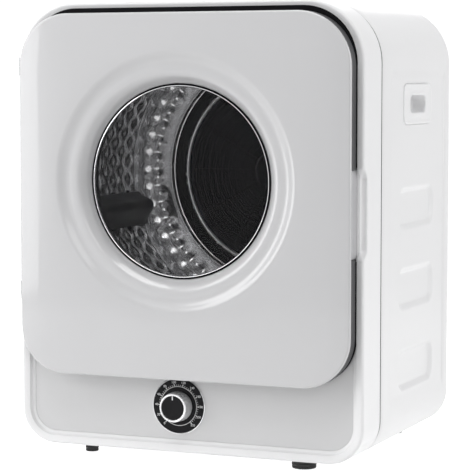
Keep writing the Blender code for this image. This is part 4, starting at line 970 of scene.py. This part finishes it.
def build_filter():
    lo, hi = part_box("lint_filter_cover")
    r0 = (hi.x - lo.x) / 2
    back = hi.y
    profile = offset([(0, 0), (0, -0.0018), (-0.0006, -0.0030), (-0.0022, -0.0036),
                      (-0.0042, -0.0034), (-0.0054, -0.0024), (-0.0075, -0.0022)], r0, back)
    r = r0 - 0.0100
    while r > 0.034:
        profile += offset([(0, -0.0024), (-0.0012, -0.0038), (-0.0034, -0.0040),
                           (-0.0046, -0.0026)], r, back)
        r -= 0.0105
    profile += [(0.0300, back - 0.0030), (0.0280, back - 0.0056), (0.0240, back - 0.0062),
                (0.0080, lo.y + 0.0002), (0.0020, lo.y)]
    disc = turned("filter_disc", profile, steps=160, closed=False, caps=(True, True), sharp=40)
    seat(disc, "drum", "black_plastic", ("lint_filter_cover",))
    for number in range(12):
        angle = tau * number / 12
        rows = []
        for t in spread(0, 1, 20):
            r = 0.0305 + (r0 - 0.0080 - 0.0305) * t
            mid = Vector((CENTRE_X + r * cos(angle), 0, CENTRE_Z + r * sin(angle)))
            side = directions(angle)[1]
            width = 0.0016 + 0.0012 * (1 - t)
            rows.append([mid + side * width * w + Vector((0, back - 0.0012 - 0.0034 * h, 0))
                         for w, h in ((-1, 0), (-0.9, 0.7), (-0.45, 1), (0.45, 1), (0.9, 0.7), (1, 0))])
        seat(skin(f"filter_spoke_{number + 1}", rows, caps=(True, True)), "drum", "black_plastic")
    ring_y = back - 0.0002
    ring = turned("filter_ring", offset([(0.0032, 0), (0.0034, -0.0016), (0.0024, -0.0028),
                                         (0.0010, -0.0026), (0.0004, -0.0012), (0.0004, 0)],
                                         r0, ring_y), steps=160)
    seat(ring, "drum", "chrome_trim", look=LOOKS["silver_knob"])


def build_collar():
    lo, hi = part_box("front_collar")
    inner = COLLAR_R
    outer = inner + 0.0023
    y0, y1 = lo.y, hi.y
    section = [(inner + 0.0004, y0 + 0.0003), (inner + 0.0012, y0), (outer, y0 + 0.0002),
               (outer, PANEL_Y + 0.0034), (outer + 0.011, PANEL_Y + 0.0034),
               (outer + 0.011, PANEL_Y + 0.0052), (outer, PANEL_Y + 0.0072), (outer, y1 - 0.0008),
               (outer - 0.0008, y1), (inner + 0.0006, y1), (inner, y1 - 0.0008),
               (inner, PANEL_Y + 0.024), (inner + 0.0008, PANEL_Y + 0.0225),
               (inner + 0.0008, PANEL_Y + 0.0205), (inner, PANEL_Y + 0.019),
               (inner, PANEL_Y + 0.009), (inner, y0 + 0.0012)]
    seat(turned("mouth_collar", section), "cabinet", "grey_plastic", ("front_collar",))


# Controls ----------------------------------------------------------------------------------

def number_mesh(text, x, z, y, size):
    """Flat raised numerals, facing the front."""
    curve = bpy.data.curves.new(f"scale_{text}", "FONT")
    curve.body = text
    curve.size = size
    curve.extrude = 0.00004
    curve.align_x = "CENTER"
    curve.align_y = "CENTER"
    made = bpy.data.objects.new("scale_text", curve)
    made.location = (x, y, z)
    made.rotation_euler = (pi / 2, 0, 0)
    bpy.context.collection.objects.link(made)
    bpy.context.view_layer.update()
    graph = bpy.context.evaluated_depsgraph_get()
    mesh = bpy.data.meshes.new_from_object(made.evaluated_get(graph))
    mesh.transform(made.matrix_world)
    solid = bpy.data.objects.new(f"dial_number_{text}", mesh)
    bpy.context.collection.objects.link(solid)
    bpy.data.objects.remove(made)
    return solid


def build_dial():
    lo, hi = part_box("dial_plate")
    (x, z), r = axis_of("dial_plate"), (hi.x - lo.x) / 2
    face, back = lo.y, hi.y
    plate = turned("dial_face", [
        (0.0035, back), (r, back), (r, face + 0.0006), (r - 0.0002, face + 0.0002), (r - 0.0006, face),
        (r - 0.0032, face), (r - 0.0036, face + 0.0003), (r - 0.0040, face + 0.0003),
        (r - 0.0044, face),
        (0.0225, face), (0.0221, face + 0.0004), (0.0035, face + 0.0004)], x, z)
    seat(plate, "cabinet", "black_plastic", ("dial_plate",))
    lo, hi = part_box("dial_ring")
    outer = (hi.x - lo.x) / 2
    ring = turned("dial_bezel", [
        (outer - 0.0011, hi.y), (outer, hi.y), (outer, lo.y + 0.0009), (outer - 0.0002, lo.y + 0.0003),
        (outer - 0.0006, lo.y), (outer - 0.0010, lo.y + 0.0003), (outer - 0.0012, lo.y + 0.0009)], x, z)
    seat(ring, "cabinet", "chrome_trim", ("dial_ring",))
    y = face - 0.00008
    scale = turned("dial_scale_ring", [(0.0262, y + 0.0001), (0.0262, y), (0.0256, y),
                                       (0.0256, y + 0.0001)], x, z)
    seat(scale, "cabinet", "white_plastic", look=INK)
    builder = bmesh.new()
    for k in range(45):
        angle = radians(DIAL_START - DIAL_SWEEP * k / 44)
        long = k % 4 == 0
        radius, length, width = (0.0268, 0.0026, 0.00045) if long else (0.0270, 0.0014, 0.00028)
        along, over = directions(angle)
        a = Vector((x, y, z)) + along * radius
        b = a + along * length
        corners = [a - over * width, a + over * width, b + over * width, b - over * width]
        top = [builder.verts.new(c) for c in corners]
        low = [builder.verts.new(c + Vector((0, 0.0001, 0))) for c in corners]
        builder.faces.new(top)
        builder.faces.new(low)
        for i in range(4):
            builder.faces.new((top[i], top[(i + 1) % 4], low[(i + 1) % 4], low[i]))
    seat(from_bmesh("dial_ticks", builder), "cabinet", "white_plastic", look=INK)
    for k, text in enumerate(("0", "20", "40", "60", "80", "100", "120", "140", "160", "180", "200",
                              "220")):
        angle = radians(DIAL_START - DIAL_SWEEP * (k * 4) / 44)
        seat(number_mesh(text, x + 0.0318 * cos(angle), z + 0.0318 * sin(angle), y, 0.0044),
             "cabinet", "white_plastic", look=INK)


def build_knob():
    lo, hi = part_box("timer_knob")
    x, z = axis_of("dial_plate")
    front = lo.y
    r = (hi.x - lo.x) / 2
    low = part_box("dial_plate")[0].y - 0.0003
    profile = [(0.0030, low), (r - 0.0004, low), (r, low - 0.0006), (r - 0.0001, low - 0.0030),
               (r - 0.0007, front + 0.0030), (r - 0.0010, front + 0.0016), (r - 0.0016, front + 0.0006),
               (r - 0.0024, front + 0.0001), (r - 0.0030, front), (r - 0.0035, front + 0.0004),
               (r - 0.0038, front + 0.0012), (0.0030, front + 0.0014)]
    rows = []
    for k, (radius, y) in enumerate(profile):
        row = []
        for i in range(180):
            a = tau * i / 180
            flute = 0.00035 * (0.5 + 0.5 * cos(a * KNOB_FLUTES)) if 2 <= k <= 4 else 0.0
            row.append(Vector((x + (radius - flute) * cos(a), y, z + (radius - flute) * sin(a))))
        rows.append(row)
    body = skin("knob_body", rows, caps=(True, True), sharp=50)
    seat(body, "knob", "silver_knob", ("timer_knob",))
    face = turned("knob_face", offset([(r - 0.0039, 0.0016), (r - 0.0040, 0.0009),
                                       (r - 0.0044, 0.0006), (r - 0.0060, 0.0006), (0.0060, 0.0010),
                                       (0.0008, 0.0011)], 0, front),
                  x, z, 96, closed=False, caps=(False, True), sharp=50)
    seat(face, "knob", "black_plastic")
    mark = rounded_block("knob_pointer", (x - 0.0007, front, z + r - 0.0095),
                         (x + 0.0007, front + 0.0012, z + r - 0.0042), 0.0003, 2)
    seat(mark, "knob", "white_plastic", look=INK)


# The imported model's own nodes that stay in view get the same finishes -----------------------

def dress_kept_nodes():
    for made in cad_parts.values():
        for place in made.material_slots:
            name = place.material.name.split(".")[0] if place.material else ""
            if name in LOOKS:
                place.material = LOOKS[name]


add_camera()
add_studio()
build_front_frame()
build_front_panel()
build_door_cover()
build_door_liner()
build_window()
build_pull()
build_gasket()
build_wrap()
build_grips()
build_rear()
build_feet()
build_drum()
build_lifters()
build_surround()
build_filter()
build_collar()
build_dial()
build_knob()
dress_kept_nodes()
